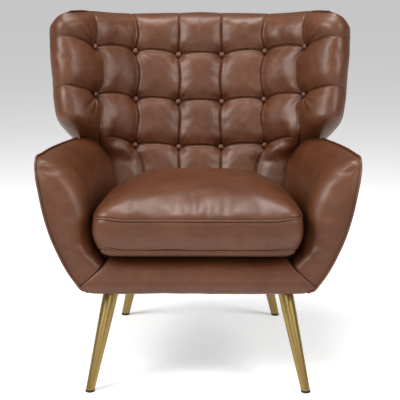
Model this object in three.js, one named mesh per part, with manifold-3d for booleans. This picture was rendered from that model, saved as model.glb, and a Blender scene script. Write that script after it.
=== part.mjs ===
// Upholstered wing armchair: buttoned back with wings, flared padded arms, loose box cushion,
// rounded front rail and four splayed metal legs. Millimetres, +Z up, front of the chair towards -Y,
// origin on the floor under the middle of the chair.
import * as THREE from 'three';
import { mergeVertices } from 'three/addons/utils/BufferGeometryUtils.js';
import Module from 'manifold-3d';

const wasm = await Module();
wasm.setup();

// ---------------------------------------------------------------- driving dimensions
const Y_SHIFT = -26.0;            // moves the design frame so that the bounding box is centred on Y = 0
const GAP = 0.3;                 // clearance between touching pieces
const RAIL_BOTTOM = 258.5;       // underside of the seat frame
const RAIL_TOP = 326.5;
const RAIL_T = 24;               // seat rail thickness
const LEG_TOP_R = 20.4, LEG_FOOT_R = 11.9, STUD_R = 4.0;
const GLIDE_H = 5.5, GLIDE_R = 12.2;
const FRONT_LEG = { top: [226, -258], foot: [280, -348] };
const REAR_LEG = { top: [176, 224], foot: [234, 321] };
const ARM_TOP = 603;             // top of the arm pads
const ARM_FRONT_ROLL = 90, ARM_TOP_ROLL = 130;
const PANEL_T = 4.5;             // outer arm panel
const WELT_R = 3.6;
const BACK_B0 = [134, 360];      // y, z of the foot of the back's pillow surface
const RECLINE = 15 * Math.PI / 180;
const BACK_ROLL = 55;            // height of the rounded top edge of the back
const BACK_PANEL_T = 4;
const BUTTON_R = 9.6;
const BUTTONS = [                // u across, v up the recline, w out of the back
  [-300, 480, 86], [-190, 482, 4], [-64, 476, -22], [64, 476, -22], [190, 482, 4], [300, 480, 86],
  [-298, 343, 84], [-188, 340, 2], [-64, 336, -22], [64, 336, -22], [188, 340, 2], [298, 343, 84],
  [-190, 205, 6], [-62, 202, -22], [62, 202, -22], [190, 205, 6]];
const CUSHION = { bottom: 359, weltBottom: 382, weltTop: 465, crown: 518 };
const ZIP = { half: 140, z: 424, y: 126.2 };
const SEAT_DECK = [333.5, 352.5];
const SPRING_R = 1.9, SPRING_Z = 329.2;

const vb = [Math.sin(RECLINE), Math.cos(RECLINE)];   // up the back: y, z
const nb = [-Math.cos(RECLINE), Math.sin(RECLINE)];        // out of the back: y, z

// ---------------------------------------------------------------- helpers
function pchip(table) {
  const x = table.map(p => p[0]), y = table.map(p => p[1]), n = x.length;
  const h = [], d = [], m = new Array(n).fill(0);
  for (let i = 0; i < n - 1; i++) { h.push(x[i + 1] - x[i]); d.push((y[i + 1] - y[i]) / h[i]); }
  m[0] = d[0]; m[n - 1] = d[n - 2];
  for (let i = 1; i < n - 1; i++) {
    if (d[i - 1] * d[i] <= 0) m[i] = 0;
    else {
      const w1 = 2 * h[i] + h[i - 1], w2 = h[i] + 2 * h[i - 1];
      m[i] = (w1 + w2) / (w1 / d[i - 1] + w2 / d[i]);
    }
  }
  return t => {
    if (t <= x[0]) return y[0];
    if (t >= x[n - 1]) return y[n - 1];
    let i = 0;
    while (t > x[i + 1]) i++;
    const s = (t - x[i]) / h[i], s2 = s * s, s3 = s2 * s;
    return y[i] * (2 * s3 - 3 * s2 + 1) + h[i] * m[i] * (s3 - 2 * s2 + s)
      + y[i + 1] * (-2 * s3 + 3 * s2) + h[i] * m[i + 1] * (s3 - s2);
  };
}
const lerp = (a, b, t) => a + (b - a) * t;
const smooth = (a, b, t) => { const s = Math.min(1, Math.max(0, (t - a) / (b - a))); return s * s * (3 - 2 * s); };

function indexed(points, faces) {
  const g = new THREE.BufferGeometry();
  g.setAttribute('position', new THREE.Float32BufferAttribute(points.flat(), 3));
  g.setIndex(faces.flat());
  // outward faces: positive enclosed volume
  let vol = 0;
  for (const [a, b, c] of faces) {
    const A = points[a], B = points[b], C = points[c];
    vol += A[0] * (B[1] * C[2] - B[2] * C[1]) + A[1] * (B[2] * C[0] - B[0] * C[2]) + A[2] * (B[0] * C[1] - B[1] * C[0]);
  }
  if (vol < 0) g.setIndex(faces.map(([a, b, c]) => [a, c, b]).flat());
  return g;
}

// closed solid through a stack of closed rings, each with the same number of points
function loft(rings, stripCaps = false) {
  const n = rings[0].length, pts = rings.flat(), faces = [];
  for (let r = 0; r < rings.length - 1; r++)
    for (let i = 0; i < n; i++) {
      const a = r * n + i, b = r * n + (i + 1) % n, c = a + n, d = b + n;
      faces.push([a, b, d], [a, d, c]);
    }
  for (const [r, flip] of [[0, true], [rings.length - 1, false]]) {
    if (stripCaps) {                             // curved sections: front point i faces rear point h - i
      const h = n / 2, tri = (a, b, c) => faces.push((flip ? [b, a, c] : [a, b, c]).map(k => r * n + k));
      for (let i = 0; i < h / 2; i++) {
        const m = k => (n - k) % n, last = h - i - 1 === i + 1;
        tri(i, i + 1, h - i); if (!last) tri(i + 1, h - i - 1, h - i);
        tri(m(i + 1), m(i), m(h - i)); if (!last) tri(m(h - i - 1), m(i + 1), m(h - i));
      }
      continue;
    }
    const centre = [0, 1, 2].map(k => rings[r].reduce((s, p) => s + p[k], 0) / n);
    const ci = pts.push(centre) - 1;
    for (let i = 0; i < n; i++) {
      const a = r * n + i, b = r * n + (i + 1) % n;
      faces.push(flip ? [b, a, ci] : [a, b, ci]);
    }
  }
  return indexed(pts, faces);
}

// closed solid between two height fields given on the same grid
function slab(front, back) {
  const R = front.length, C = front[0].length, pts = [...front.flat(), ...back.flat()], faces = [], off = R * C;
  const id = (r, c, s) => s * off + r * C + c;
  for (let r = 0; r < R - 1; r++)
    for (let c = 0; c < C - 1; c++) {
      faces.push([id(r, c, 0), id(r, c + 1, 0), id(r + 1, c + 1, 0)], [id(r, c, 0), id(r + 1, c + 1, 0), id(r + 1, c, 0)]);
      faces.push([id(r, c, 1), id(r + 1, c + 1, 1), id(r, c + 1, 1)], [id(r, c, 1), id(r + 1, c, 1), id(r + 1, c + 1, 1)]);
    }
  const rim = [];
  for (let c = 0; c < C - 1; c++) rim.push([0, c]);
  for (let r = 0; r < R - 1; r++) rim.push([r, C - 1]);
  for (let c = C - 1; c > 0; c--) rim.push([R - 1, c]);
  for (let r = R - 1; r > 0; r--) rim.push([r, 0]);
  for (let i = 0; i < rim.length; i++) {
    const [r0, c0] = rim[i], [r1, c1] = rim[(i + 1) % rim.length];
    faces.push([id(r0, c0, 0), id(r1, c1, 1), id(r1, c1, 0)], [id(r0, c0, 0), id(r0, c0, 1), id(r1, c1, 1)]);
  }
  return indexed(pts, faces);
}

function toManifold(geometry) {
  let g = geometry.clone();
  g.deleteAttribute('normal'); g.deleteAttribute('uv');
  g = mergeVertices(g, 1e-4);
  const m = new wasm.Mesh({ numProp: 3, vertProperties: new Float32Array(g.attributes.position.array), triVerts: new Uint32Array(g.index.array) });
  return new wasm.Manifold(m);
}
function fromManifold(m) {
  const mesh = m.getMesh(), g = new THREE.BufferGeometry();
  g.setAttribute('position', new THREE.BufferAttribute(new Float32Array(mesh.vertProperties), 3));
  g.setIndex(Array.from(mesh.triVerts));
  return g;
}
function largest(m) {
  const parts = m.decompose();
  return parts.reduce((a, b) => (b.volume() > a.volume() ? b : a));
}
const cut = (a, ...tools) => tools.reduce((s, t) => s.subtract(t), a);

// eight-cornered block: bottom quad then top quad, in the same order
function hexa(bottom, top) { return loft([bottom, top]); }
function block(x0, x1, y0, y1, z0, z1) {
  const q = z => [[x0, y0, z], [x1, y0, z], [x1, y1, z], [x0, y1, z]];
  return hexa(q(z0), q(z1));
}
function mirrorX(g) {
  const m = g.clone(), p = m.attributes.position, idx = m.index.array;
  for (let i = 0; i < p.count; i++) p.setX(i, -p.getX(i));
  for (let i = 0; i < idx.length; i += 3) { const t = idx[i + 1]; idx[i + 1] = idx[i + 2]; idx[i + 2] = t; }
  return m;
}
// tube swept along a path, closed ends or a closed loop
function tube(points, radius, sides, steps, closed = false) {
  const path = new THREE.CatmullRomCurve3(points.map(p => new THREE.Vector3(...p)), closed, 'centripetal');
  const section = new THREE.Shape();
  for (let i = 0; i <= sides; i++) {
    const a = (i / sides) * Math.PI * 2, x = Math.cos(a) * radius, y = Math.sin(a) * radius;
    if (i === 0) section.moveTo(x, y); else if (i < sides) section.lineTo(x, y); else section.closePath();
  }
  const g = new THREE.ExtrudeGeometry(section, { steps, bevelEnabled: false, extrudePath: path });
  g.deleteAttribute('normal'); g.deleteAttribute('uv');
  return mergeVertices(g, 1e-3);
}

const backPoint = (u, v, w) => [u, BACK_B0[0] + vb[0] * v + nb[0] * w, BACK_B0[1] + vb[1] * v + nb[1] * w];

// ---------------------------------------------------------------- materials
const LEATHER = { color: 0x3f1c0c, roughness: 0.42, metalness: 0.0 };
const LEATHER_DARK = { color: 0x341609, roughness: 0.46, metalness: 0.0 };
const WOOD = { color: 0xb58a58, roughness: 0.75, metalness: 0.0 };
const STEEL = { color: 0x8d8f92, roughness: 0.4, metalness: 1.0 };
const BRASS = { color: 0xb58a4c, roughness: 0.28, metalness: 1.0 };
const BLACK = { color: 0x151413, roughness: 0.6, metalness: 0.0 };
const CLOTH = { color: 0x232120, roughness: 0.95, metalness: 0.0 };
const WADDING = { color: 0xe8e2d2, roughness: 0.95, metalness: 0.0 };

const chair = new THREE.Group();
chair.position.y = Y_SHIFT;
function add(name, geometry, material, group = chair) {
  const mesh = new THREE.Mesh(geometry, new THREE.MeshStandardMaterial(material));
  mesh.name = name;
  group.add(mesh);
  return mesh;
}
function addPair(base, geometry, material, group = chair) {
  add(base + '_left', geometry, material, group);
  add(base + '_right', mirrorX(geometry), material, group);
}

// ---------------------------------------------------------------- arms
const armX0 = pchip([[253.5, 288], [258.5, 293.5], [265, 300], [285, 313], [308, 330], [340, 348], [369, 362], [404, 377],
  [462, 395], [520, 408], [583, 419.5], [600, 420]]);
const armTaper = pchip([[-320, 1], [-220, .995], [-120, .968], [-40, .925], [40, .865], [120, .8], [200, .745], [280, .7], [360, .665]]);
const armFront = pchip([[255, -335], [350, -330], [450, -320], [530, -305], [570, -290]]);
const armInner = pchip([[258.5, 284], [300, 256], [330, 236], [345, 252], [360, 269], [400, 283], [450, 288], [500, 294]]);
const armOut = (y, z) => armX0(z) * armTaper(y);
const armRear = z => 219 + .2679 * (z - 337.2);
function armYFront(z) {                       // front edge with its rounded upper corner
  const base = armFront(z), R = 50, dz = z - (ARM_TOP - R);
  return dz > 0 ? base + R - Math.sqrt(Math.max(0, R * R - dz * dz)) : base;
}
function armThickness(y, z) {
  const atFront = z < 500 ? armX0(z) - armInner(z) : lerp(armX0(500) - armInner(500), 113, smooth(500, 560, z));
  const rear = Math.min(atFront, 62);
  return lerp(atFront, rear, smooth(-250, 200, y));
}
function armG(dFront, dTop) {                  // rolls the pad over at its front and top edges
  const gf = dFront >= ARM_FRONT_ROLL ? 1 : Math.pow(Math.max(0, 1 - Math.pow(1 - dFront / ARM_FRONT_ROLL, 2.3)), 1 / 2.3);
  const gt = dTop >= ARM_TOP_ROLL ? 1 : Math.pow(Math.max(0, 1 - Math.pow(1 - dTop / ARM_TOP_ROLL, 2.2)), 1 / 2.2);
  return gf * gt;
}
const armZ = [];                               // heights of the grid rows
for (const z of [258.5, 294, 330, 345, 360, 395, 432, 473]) armZ.push(z);
for (const f of [24, 44, 62, 77, 90]) armZ.push(ARM_TOP - ARM_TOP_ROLL * (1 - Math.sin(f * Math.PI / 180) ** (2 / 2.2)));
const armS = [];                               // distances back from the front edge, then fractions
for (const f of [0, 12, 26, 42, 62, 90]) armS.push(ARM_FRONT_ROLL * (1 - Math.cos(f * Math.PI / 180) ** (2 / 2.3)));
const armColumns = (yf, yr) => [...armS.map(s => yf + s), ...[.2, .42, .7, 1].map(t => lerp(yf + ARM_FRONT_ROLL, yr, t))];
function armSolid(grow = 0, skinGap = 5) {
  const inner = [], outer = [];
  for (const z of armZ) {
    const yf = armYFront(z), yr = armRear(z), ri = [], ro = [];
    const ys = armColumns(yf, yr);
    ys.forEach((y, k) => {
      const dFront = y - yf, T = armThickness(y, z);
      const g = armG(dFront, ARM_TOP - z);
      const xo = armOut(y, z) - skinGap;
      const thick = 2 + Math.max(0, (T - 7) * g);
      const gy = k === 0 ? -grow : k === ys.length - 1 ? grow : 0, gz = grow && z > 600 ? grow : 0;
      ri.push([xo - thick - grow, y + gy, z + gz]); ro.push([xo + (grow ? skinGap + grow : 0), y + gy, z + gz]);
    });
    inner.push(ri); outer.push(ro);
  }
  if (grow) {                                  // the cutter runs down past the pad's underside
    inner.unshift(inner[0].map(p => [p[0], p[1], p[2] - 12]));
    outer.unshift(outer[0].map(p => [p[0], p[1], p[2] - 12]));
  }
  return slab(inner, outer);
}

// seat rails and corner blocks
const blockFront = block(195, 250, -285, -230, RAIL_BOTTOM, RAIL_TOP);
const blockRear = block(130, 190, 194.5, 238, RAIL_BOTTOM, RAIL_TOP);
const sideY0 = -229.7, sideY1 = 194.2, bevel = (RAIL_TOP - RAIL_BOTTOM) * Math.tan(16 * Math.PI / 180);
function sideRail(g = 0) {
  const y0 = sideY0 - g, y1 = sideY1 + g, z0 = RAIL_BOTTOM - (g ? 10 : 0), z1 = RAIL_TOP + g;
  const x0 = 250 + g, x1 = 190 + g, b0 = (z0 - RAIL_BOTTOM) * Math.tan(16 * Math.PI / 180), b1 = bevel;
  return hexa([[x0 - RAIL_T - 2 * g, y0, z0], [x0 + b0, y0, z0], [x1 + b0, y1, z0], [x1 - RAIL_T - 2 * g, y1, z0]],
    [[x0 - RAIL_T - 2 * g, y0, z1], [x0 + b1, y0, z1], [x1 + b1, y1, z1], [x1 - RAIL_T - 2 * g, y1, z1]]);
}
// arm frame: flat plate with a window, leaning out 16 degrees against the bevelled side rail
const armFrameY = [-224, 186], armFrameZ = [261, 545];
function armFrame(g = 0, window = true) {
  const t16 = Math.tan(16 * Math.PI / 180);
  const xin = (y, z) => 250.6 + (y - sideY0) * (190.6 - 250.6) / (sideY1 - sideY0) + (z - RAIL_BOTTOM) * t16;
  const corner = (y, z, o) => [xin(y, z) + (o ? 18 + g : -g), y, z];
  const y0 = armFrameY[0] - g, y1 = armFrameY[1] + g, z0 = armFrameZ[0] - (g ? 12 : 0), z1 = armFrameZ[1] + g;
  const body = hexa([corner(y0, z0, 0), corner(y0, z0, 1), corner(y1, z0, 1), corner(y1, z0, 0)],
    [corner(y0, z1, 0), corner(y0, z1, 1), corner(y1, z1, 1), corner(y1, z1, 0)]);
  if (!window) return toManifold(body);
  const c2 = (y, z, o) => [xin(y, z) + (o ? 40 : -30), y, z];
  const hole = hexa([c2(-150, 350, 0), c2(-150, 350, 1), c2(120, 350, 1), c2(120, 350, 0)],
    [c2(-150, 480, 0), c2(-150, 480, 1), c2(120, 480, 1), c2(120, 480, 0)]);
  return toManifold(body).subtract(toManifold(hole));
}

// legs' studs run up along the leg axis; cutter for their holes
function legRings(leg, z0, z1, r0, r1, n, steps = 1) {
  const rings = [];
  for (let k = 0; k <= steps; k++) {
    const z = lerp(z0, z1, k / steps), r = lerp(r0, r1, k / steps), t = 1 - z / 254;
    const cx = lerp(leg.top[0], leg.foot[0], t), cy = lerp(leg.top[1], leg.foot[1], t);
    rings.push(Array.from({ length: n }, (_, i) => {
      const a = (i + .5) / n * Math.PI * 2;
      return [cx + r * Math.cos(a), cy + r * Math.sin(a), z];
    }));
  }
  return rings;
}
function legGeometry(leg) {
  const n = 12;
  return loft([
    ...legRings(leg, GLIDE_H + GAP, 20, LEG_FOOT_R, LEG_FOOT_R + .5, n),
    ...legRings(leg, 140, 258.2, 16.6, LEG_TOP_R, n),
    ...legRings(leg, 258.2, 296, STUD_R, STUD_R, n)]);
}
const studHole = leg => toManifold(loft(legRings(leg, 250, 300, STUD_R + .45, STUD_R + .45, 12)));
const legHole = leg => toManifold(loft(legRings(leg, 250, 262, LEG_TOP_R + 1.6, LEG_TOP_R + 1.6, 12)));

addPair('corner_block_front', fromManifold(cut(toManifold(blockFront), studHole(FRONT_LEG))), WOOD);
addPair('corner_block_rear', fromManifold(cut(toManifold(blockRear), studHole(REAR_LEG))), WOOD);
add('seat_rail_front', block(-194.7, 194.7, -285, -285 + RAIL_T, RAIL_BOTTOM, RAIL_TOP), WOOD);
const rearRail = block(-129.7, 129.7, 214, 238, RAIL_BOTTOM, RAIL_TOP);
add('seat_rail_rear', rearRail, WOOD);
addPair('seat_rail_side', sideRail(), WOOD);
addPair('arm_frame', fromManifold(armFrame()), WOOD);
addPair('leg_front', legGeometry(FRONT_LEG), BRASS);
addPair('leg_rear', legGeometry(REAR_LEG), BRASS);
function glide(leg) {
  return loft([...legRings(leg, 0, 1.2, GLIDE_R - 1.2, GLIDE_R, 12), ...legRings(leg, GLIDE_H - 1, GLIDE_H, GLIDE_R, GLIDE_R - 1, 12)]);
}
addPair('glide_front', glide(FRONT_LEG), BLACK);
addPair('glide_rear', glide(REAR_LEG), BLACK);

// mitre between the arm fronts and the front rail
const mitre = (z, off) => 240 + (332 - z) * 1.13 + off;
const mitreCutter = (() => {                    // everything inside the mitre, below the rail's top edge
  const off = .9, z0 = 240, z1 = 352.4, y0 = -360, y1 = -259.9;
  return toManifold(hexa([[0, y0, z0], [mitre(z0, off), y0, z0], [mitre(z0, off), y1, z0], [0, y1, z0]],
    [[0, y0, z1], [mitre(z1, off), y0, z1], [mitre(z1, off), y1, z1], [0, y1, z1]]));
})();
const railTopCutter = toManifold(block(0, 227.3, -345, -259.5, 320, 353));
const armPad = largest(cut(toManifold(armSolid(0)), mitreCutter, railTopCutter,
  toManifold(block(0, 250.6, -285.6, -229.4, 240, RAIL_TOP + .6)),
  toManifold(block(120, 190.6, 193.9, 238.6, 240, RAIL_TOP + .6)),
  toManifold(sideRail(.6)), armFrame(.6, false)));
addPair('arm_pad', fromManifold(armPad), LEATHER);

function armPanel() {
  const o = [], i = [];
  for (const z of armZ) {
    const ys = armColumns(armYFront(z), armRear(z));
    o.push(ys.map(y => [armOut(y, z), y, z])); i.push(ys.map(y => [armOut(y, z) - PANEL_T, y, z]));
  }
  return slab(o, i);
}
addPair('arm_outer_panel', armPanel(), LEATHER_DARK);

// piping along the arm's front and top outer edges
function armWeltPath() {
  const pts = [], c = WELT_R + .5;
  for (const z of [262, 300, 345, 400, 450, 500, 530, 552]) pts.push([armOut(armYFront(z), z) - 4, armYFront(z) - c, z]);
  for (const a of [20, 42, 64, 80]) {
    const r = a * Math.PI / 180, z = 553 + (50 + c) * Math.sin(r);
    const yb = armFront(575) + 50 - (50 + c) * Math.cos(r);
    pts.push([armOut(yb, Math.min(600, z)) - 4, yb, z]);
  }
  for (const y of [-225, -180, -130, -80, -30, 10, 34]) pts.push([armOut(y, 600) - 4, y, ARM_TOP + c + .3]);
  return pts;
}

// ---------------------------------------------------------------- front rail pad
const railSection = [[-260.5, 352], [-273, 351], [-285, 347.5], [-299, 341], [-312, 331.5], [-324, 318.5], [-332, 305], [-337, 291], [-338.2, 278],
  [-335, 266.5], [-328, 258.5], [-318, 254.8], [-303, 253.6], [-287.5, 253.5], [-260.5, 253.5], [-260.5, 300], [-260.5, 330.3]];
const railRings = [];
const railEnd = z => Math.min(mitre(z, -1), armX0(z) * .999 - 9);
for (const s of [-1, -.5, 0, .5, 1]) railRings.push(railSection.map(([y, z]) => [s * railEnd(z), y, z]));
const railRebate = toManifold(block(-320, 320, -287.5, -250, 240, 331.8));
add('front_rail_pad', fromManifold(largest(cut(toManifold(loft(railRings)), railRebate))), LEATHER);

// ---------------------------------------------------------------- back
const halfWidth = pchip([[-66, 224], [6, 263], [150, 300], [182, 312], [207, 345], [224, 362], [241, 377], [263, 394], [286, 402], [312, 406],
  [344, 410], [400, 413.5], [457, 418], [507, 421], [545, 421.5], [600, 421.5]]);
const topCorner = pchip([[545, 1], [560, .995], [573, .98], [583, .96], [590, .938], [596, .9], [600, .86]]);   // rounds the wings' upper corners
const wingSection = [[0, 0], [70, 1], [140, 9], [200, 30], [250, 62], [290, 98], [320, 130], [345, 153], [370, 166], [393, 164], [411, 146], [420, 115],
  [417, 75], [405, 30], [385, -20], [355, -70], [320, -105], [270, -125], [200, -135], [100, -140], [0, -142]];
const flatSection = [[0, 0], [70, 0], [140, 3], [200, 10], [250, 18], [290, 25], [330, 30], [360, 30], [385, 25], [405, 12], [417, -10], [420, -40],
  [420, -70], [420, -95], [415, -112], [400, -125], [360, -132], [300, -137], [200, -140], [100, -142], [0, -142]];
const topHeight = u => 602 - 35 * (u / 420) ** 2;
function backHalfRing(v) {                      // half section at height v, in u, w
  const k = smooth(150, 280, v), hw = halfWidth(v) / 420;
  return wingSection.map((p, i) => [lerp(flatSection[i][0], p[0], k) * hw, lerp(flatSection[i][1], p[1], k)]);
}
function rollRing(v) {                          // the same, drawn in as it rolls over the top edge; returns u, v, w
  const v0 = 600 - BACK_ROLL;
  if (v <= v0) return backHalfRing(v).map(([u, w]) => [u, v, w]);
  const s = Math.min(1, (v - v0) / BACK_ROLL), c = 1 - Math.sqrt(1 - s * s), half = backHalfRing(v0);
  return half.map(([u, w], i) => {
    const wm = (half[Math.min(20, Math.max(0, 20 - i))][1] + w) / 2, um = (half[20 - i][0] + u) / 2;
    return [lerp(u, um, c * .8) * topCorner(v), v, lerp(w, wm, c * .8)];
  });
}
const insetFrom = 13;
function backRing(v, inset, grow = 0) {
  const half = rollRing(v), n = half.length;
  const pts = half.map(([u, vv, w], i) => {
    const a = half[Math.max(0, i - 1)], b = half[Math.min(n - 1, i + 1)];
    let nu = -(b[2] - a[2]), nw = b[0] - a[0];
    const L = Math.hypot(nu, nw) || 1; nu /= L; nw /= L;
    if (i === 0 || i === n - 1) nu = 0;
    const off = (i >= insetFrom && vv < 556 ? -inset : 0) + grow;
    const uu = u + nu * off, scale = vv / 600, vTop = topHeight(uu);
    return [uu, vv * lerp(1, vTop / 600, smooth(.3, .95, scale)), w + nw * off];
  });
  const ring = pts.map(([u, vv, w]) => backPoint(u, vv, w));
  for (let i = n - 2; i > 0; i--) ring.push(backPoint(-pts[i][0], pts[i][1], pts[i][2]));
  return ring;
}
const backLevels = [-40, 60, 150, 182, 215, 250, 290, 340, 410, 480, 545];
for (const s of [.5, .85, 1]) backLevels.push(545 + BACK_ROLL * s);
const backSolid = toManifold(loft(backLevels.map(v => backRing(v, BACK_PANEL_T + .6)), true));

function backBoard(u0, u1, v0, v1, w0, w1) {
  const q = v => [[u0, v, w0], [u1, v, w0], [u1, v, w1], [u0, v, w1]].map(p => backPoint(...p));
  return hexa(q(v0), q(v1));
}
const POST = { u: 100, half: 22, v0: -72, v1: 548, w0: -116, w1: -78 };
const rearRailCutter = toManifold(block(-131, 131, 213.6, 239, 240, RAIL_TOP + .4));
const post = (g = 0) => toManifold(backBoard(POST.u - POST.half - g, POST.u + POST.half + g, POST.v0 - (g ? 20 : 0), POST.v1 + g, POST.w0 - g, POST.w1 + g));
const postCut = cut(post(), rearRailCutter, toManifold(block(0, 300, 100, 400, 200, RAIL_BOTTOM + .2)));
addPair('back_post', fromManifold(largest(postCut)), WOOD);
const between = POST.u - POST.half - .4;
add('back_top_rail', backBoard(-between, between, 505, 545, -112, -84), WOOD);
add('back_lower_rail', backBoard(-between, between, 96, 146, -112, -84), WOOD);

// pits that the buttons are drawn into
function pit(u, v, w) {
  const tilt = Math.abs(u) > 250 ? Math.sign(u) * .72 : Math.abs(u) > 150 && v > 300 ? Math.sign(u) * .2 : 0;
  const rings = [];
  for (const [d, r] of [[-1.5, 12], [8, 15.5], [30, 37]]) {
    rings.push(Array.from({ length: 8 }, (_, i) => {
      const a = i / 8 * Math.PI * 2, c = Math.cos(a) * r, s = Math.sin(a) * r;
      return backPoint(u + c * Math.cos(tilt) - d * Math.sin(tilt), v + s, w + d * Math.cos(tilt) + c * Math.sin(tilt));
    }));
  }
  return toManifold(loft(rings));
}
function button(u, v, w) {
  const tilt = Math.abs(u) > 250 ? Math.sign(u) * .72 : Math.abs(u) > 150 && v > 300 ? Math.sign(u) * .2 : 0;
  const rings = [];
  for (const [d, r] of [[-1.1, 7.5], [1, BUTTON_R], [4.2, 7.4], [6.2, 2.6]]) {
    rings.push(Array.from({ length: 8 }, (_, i) => {
      const a = i / 8 * Math.PI * 2, c = Math.cos(a) * r, s = Math.sin(a) * r;
      return backPoint(u + c * Math.cos(tilt) - d * Math.sin(tilt), v + s, w + d * Math.cos(tilt) + c * Math.sin(tilt));
    }));
  }
  return loft(rings);
}
const armCutterR = toManifold(armSolid(1.0)), armCutterL = toManifold(mirrorX(armSolid(1.0)));
const pocketFrame = cut(post(.6)).add(toManifold(mirrorX(fromManifold(post(.6)))))
  .add(toManifold(backBoard(-between - 2, between + 2, 505 - .6, 545.6, -112.6, -83.4)))
  .add(toManifold(backBoard(-between - 2, between + 2, 95.4, 146.6, -112.6, -83.4)));
const floorCut = toManifold(block(-500, 500, 0, 500, 200, 332));
let backPad = cut(backSolid, armCutterR, armCutterL, floorCut, pocketFrame, ...BUTTONS.map(b => pit(...b)));
add('back_pad', fromManifold(largest(backPad)), LEATHER);
BUTTONS.forEach((b, i) => {
  const row = i < 6 ? 1 : i < 12 ? 2 : 3, col = i < 6 ? i + 1 : i < 12 ? i - 5 : i - 10;
  add(`button_${row}_${col}`, button(...b), LEATHER_DARK);
});

// outer back panel wrapping the rear corners
function backPanel() {
  const levels = [-66, -40, 60, 150, 182, 215, 250, 290, 340, 410, 480, 543];
  const outer = [], inner = [];
  for (const v of levels) {
    const o = backRing(v, 0), i = backRing(v, BACK_PANEL_T), pick = [];
    for (let k = 14; k <= 26; k++) pick.push(k);
    outer.push(pick.map(k => o[k])); inner.push(pick.map(k => i[k]));
  }
  return slab(outer, inner);
}
add('back_outer_panel', backPanel(), LEATHER_DARK);
addPair('arm_welt', tube(armWeltPath(), WELT_R, 5, 32), LEATHER_DARK);

// ---------------------------------------------------------------- seat: springs, deck, dust cover
function spring(x0, x1, amp) {
  const pts = [], loops = 9, y0 = -272, y1 = 238;
  for (let i = 0; i <= loops * 2; i++) {
    const t = i / (loops * 2), y = lerp(y0, y1, t), x = lerp(x0, x1, t), s = i === 0 || i === loops * 2 ? 0 : (i % 2 ? 1 : -1);
    pts.push([x + s * amp, y, SPRING_Z]);
  }
  return tube(pts, SPRING_R, 4, 38);
}
add('spring_1', spring(-150, -56, 13), STEEL);
add('spring_2', spring(-50, -19, 13), STEEL);
add('spring_3', spring(50, 19, 13), STEEL);
add('spring_4', spring(150, 56, 13), STEEL);
const deck = toManifold(block(-300, 300, -259.6, 124, SEAT_DECK[0], SEAT_DECK[1]));
add('seat_deck_pad', fromManifold(largest(cut(deck, armCutterR, armCutterL, toManifold(loft(backLevels.slice(0, 4).map(v => backRing(v, 0, 1)), true))))), CLOTH);
const dustOutline = z => [[-262, -284, z], [262, -284, z], [251, -180, z], [232, -20, z], [207, 120, z], [193, 200, z], [184, 245, z],
  [-184, 245, z], [-193, 200, z], [-207, 120, z], [-232, -20, z], [-251, -180, z]];
const mirrored = leg => ({ top: [-leg.top[0], leg.top[1]], foot: [-leg.foot[0], leg.foot[1]] });
const dust = cut(toManifold(loft([dustOutline(255.6), dustOutline(257.8)])), legHole(FRONT_LEG), legHole(REAR_LEG),
  legHole(mirrored(FRONT_LEG)), legHole(mirrored(REAR_LEG)));
add('dust_cover', fromManifold(dust), CLOTH);

// ---------------------------------------------------------------- loose cushion
const cushionHalf = [[-360, 0], [-360, 110], [-360, 205], [-356, 236], [-344, 254.5], [-328, 262], [-280, 266.5],
  [-200, 265], [-120, 260.5], [-50, 250], [20, 230], [75, 208], [107, 186], [124, 150], [129, 80], [129, 0]];
const CUSHION_MID = [0, -112];
function cushionRing(offset, z) {               // plan outline moved in by offset
  const n = cushionHalf.length, half = cushionHalf.map(([y, x], i) => {
    const a = cushionHalf[Math.max(0, i - 1)], b = cushionHalf[Math.min(n - 1, i + 1)];
    let nx = (b[0] - a[0]), ny = -(b[1] - a[1]);
    if (i === 0) { nx = 0; ny = -1; } else if (i === n - 1) { nx = 0; ny = 1; }
    const L = Math.hypot(nx, ny) || 1;
    return [x - nx / L * offset, y - ny / L * offset, z];
  });
  return [...half, ...half.slice(1, -1).reverse().map(([x, y, zz]) => [-x, y, zz])];
}
function cushionScaled(s, z) {
  return cushionRing(4, z).map(([x, y, zz]) => [CUSHION_MID[0] + (x - CUSHION_MID[0]) * s, CUSHION_MID[1] + (y - CUSHION_MID[1]) * s, zz]);
}
const bottomZ = CUSHION.bottom;
const coverOuter = toManifold(loft([
  cushionScaled(.55, bottomZ), cushionScaled(.86, bottomZ + 4), cushionRing(19, CUSHION.weltBottom - 5), cushionRing(19, CUSHION.weltBottom + 5),
  cushionRing(8, 403), cushionRing(3, 426), cushionRing(4.5, 446), cushionRing(10, CUSHION.weltTop - 5), cushionRing(10, CUSHION.weltTop + 5),
  cushionScaled(.94, 483), cushionScaled(.8, 500), cushionScaled(.6, 511), cushionScaled(.3, CUSHION.crown - 1)]));
const coverInner = toManifold(loft([
  cushionScaled(.55, bottomZ + 4), cushionScaled(.85, bottomZ + 8), cushionRing(24, CUSHION.weltBottom), cushionRing(8, 426), cushionRing(15, CUSHION.weltTop),
  cushionScaled(.91, 479), cushionScaled(.78, 496), cushionScaled(.58, 507), cushionScaled(.3, CUSHION.crown - 5)]));
const core = loft([
  cushionScaled(.54, bottomZ + 5), cushionScaled(.83, bottomZ + 10), cushionRing(27, CUSHION.weltBottom), cushionRing(13, 426), cushionRing(18, CUSHION.weltTop),
  cushionScaled(.88, 476), cushionScaled(.75, 493), cushionScaled(.55, 504.5), cushionScaled(.28, CUSHION.crown - 7)]);
const zipSlot = toManifold(block(-ZIP.half, ZIP.half, 100, 140, ZIP.z - 5, ZIP.z + 5));
const lifted = new THREE.Group();
chair.add(lifted);
add('cushion_cover', fromManifold(largest(cut(coverOuter, coverInner, zipSlot))), LEATHER, lifted);
add('cushion_core', core, WADDING, lifted);
add('cushion_welt_top', tube(cushionRing(10 - WELT_R - 3.3, CUSHION.weltTop), WELT_R, 5, 60, true), LEATHER_DARK, lifted);
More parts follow.
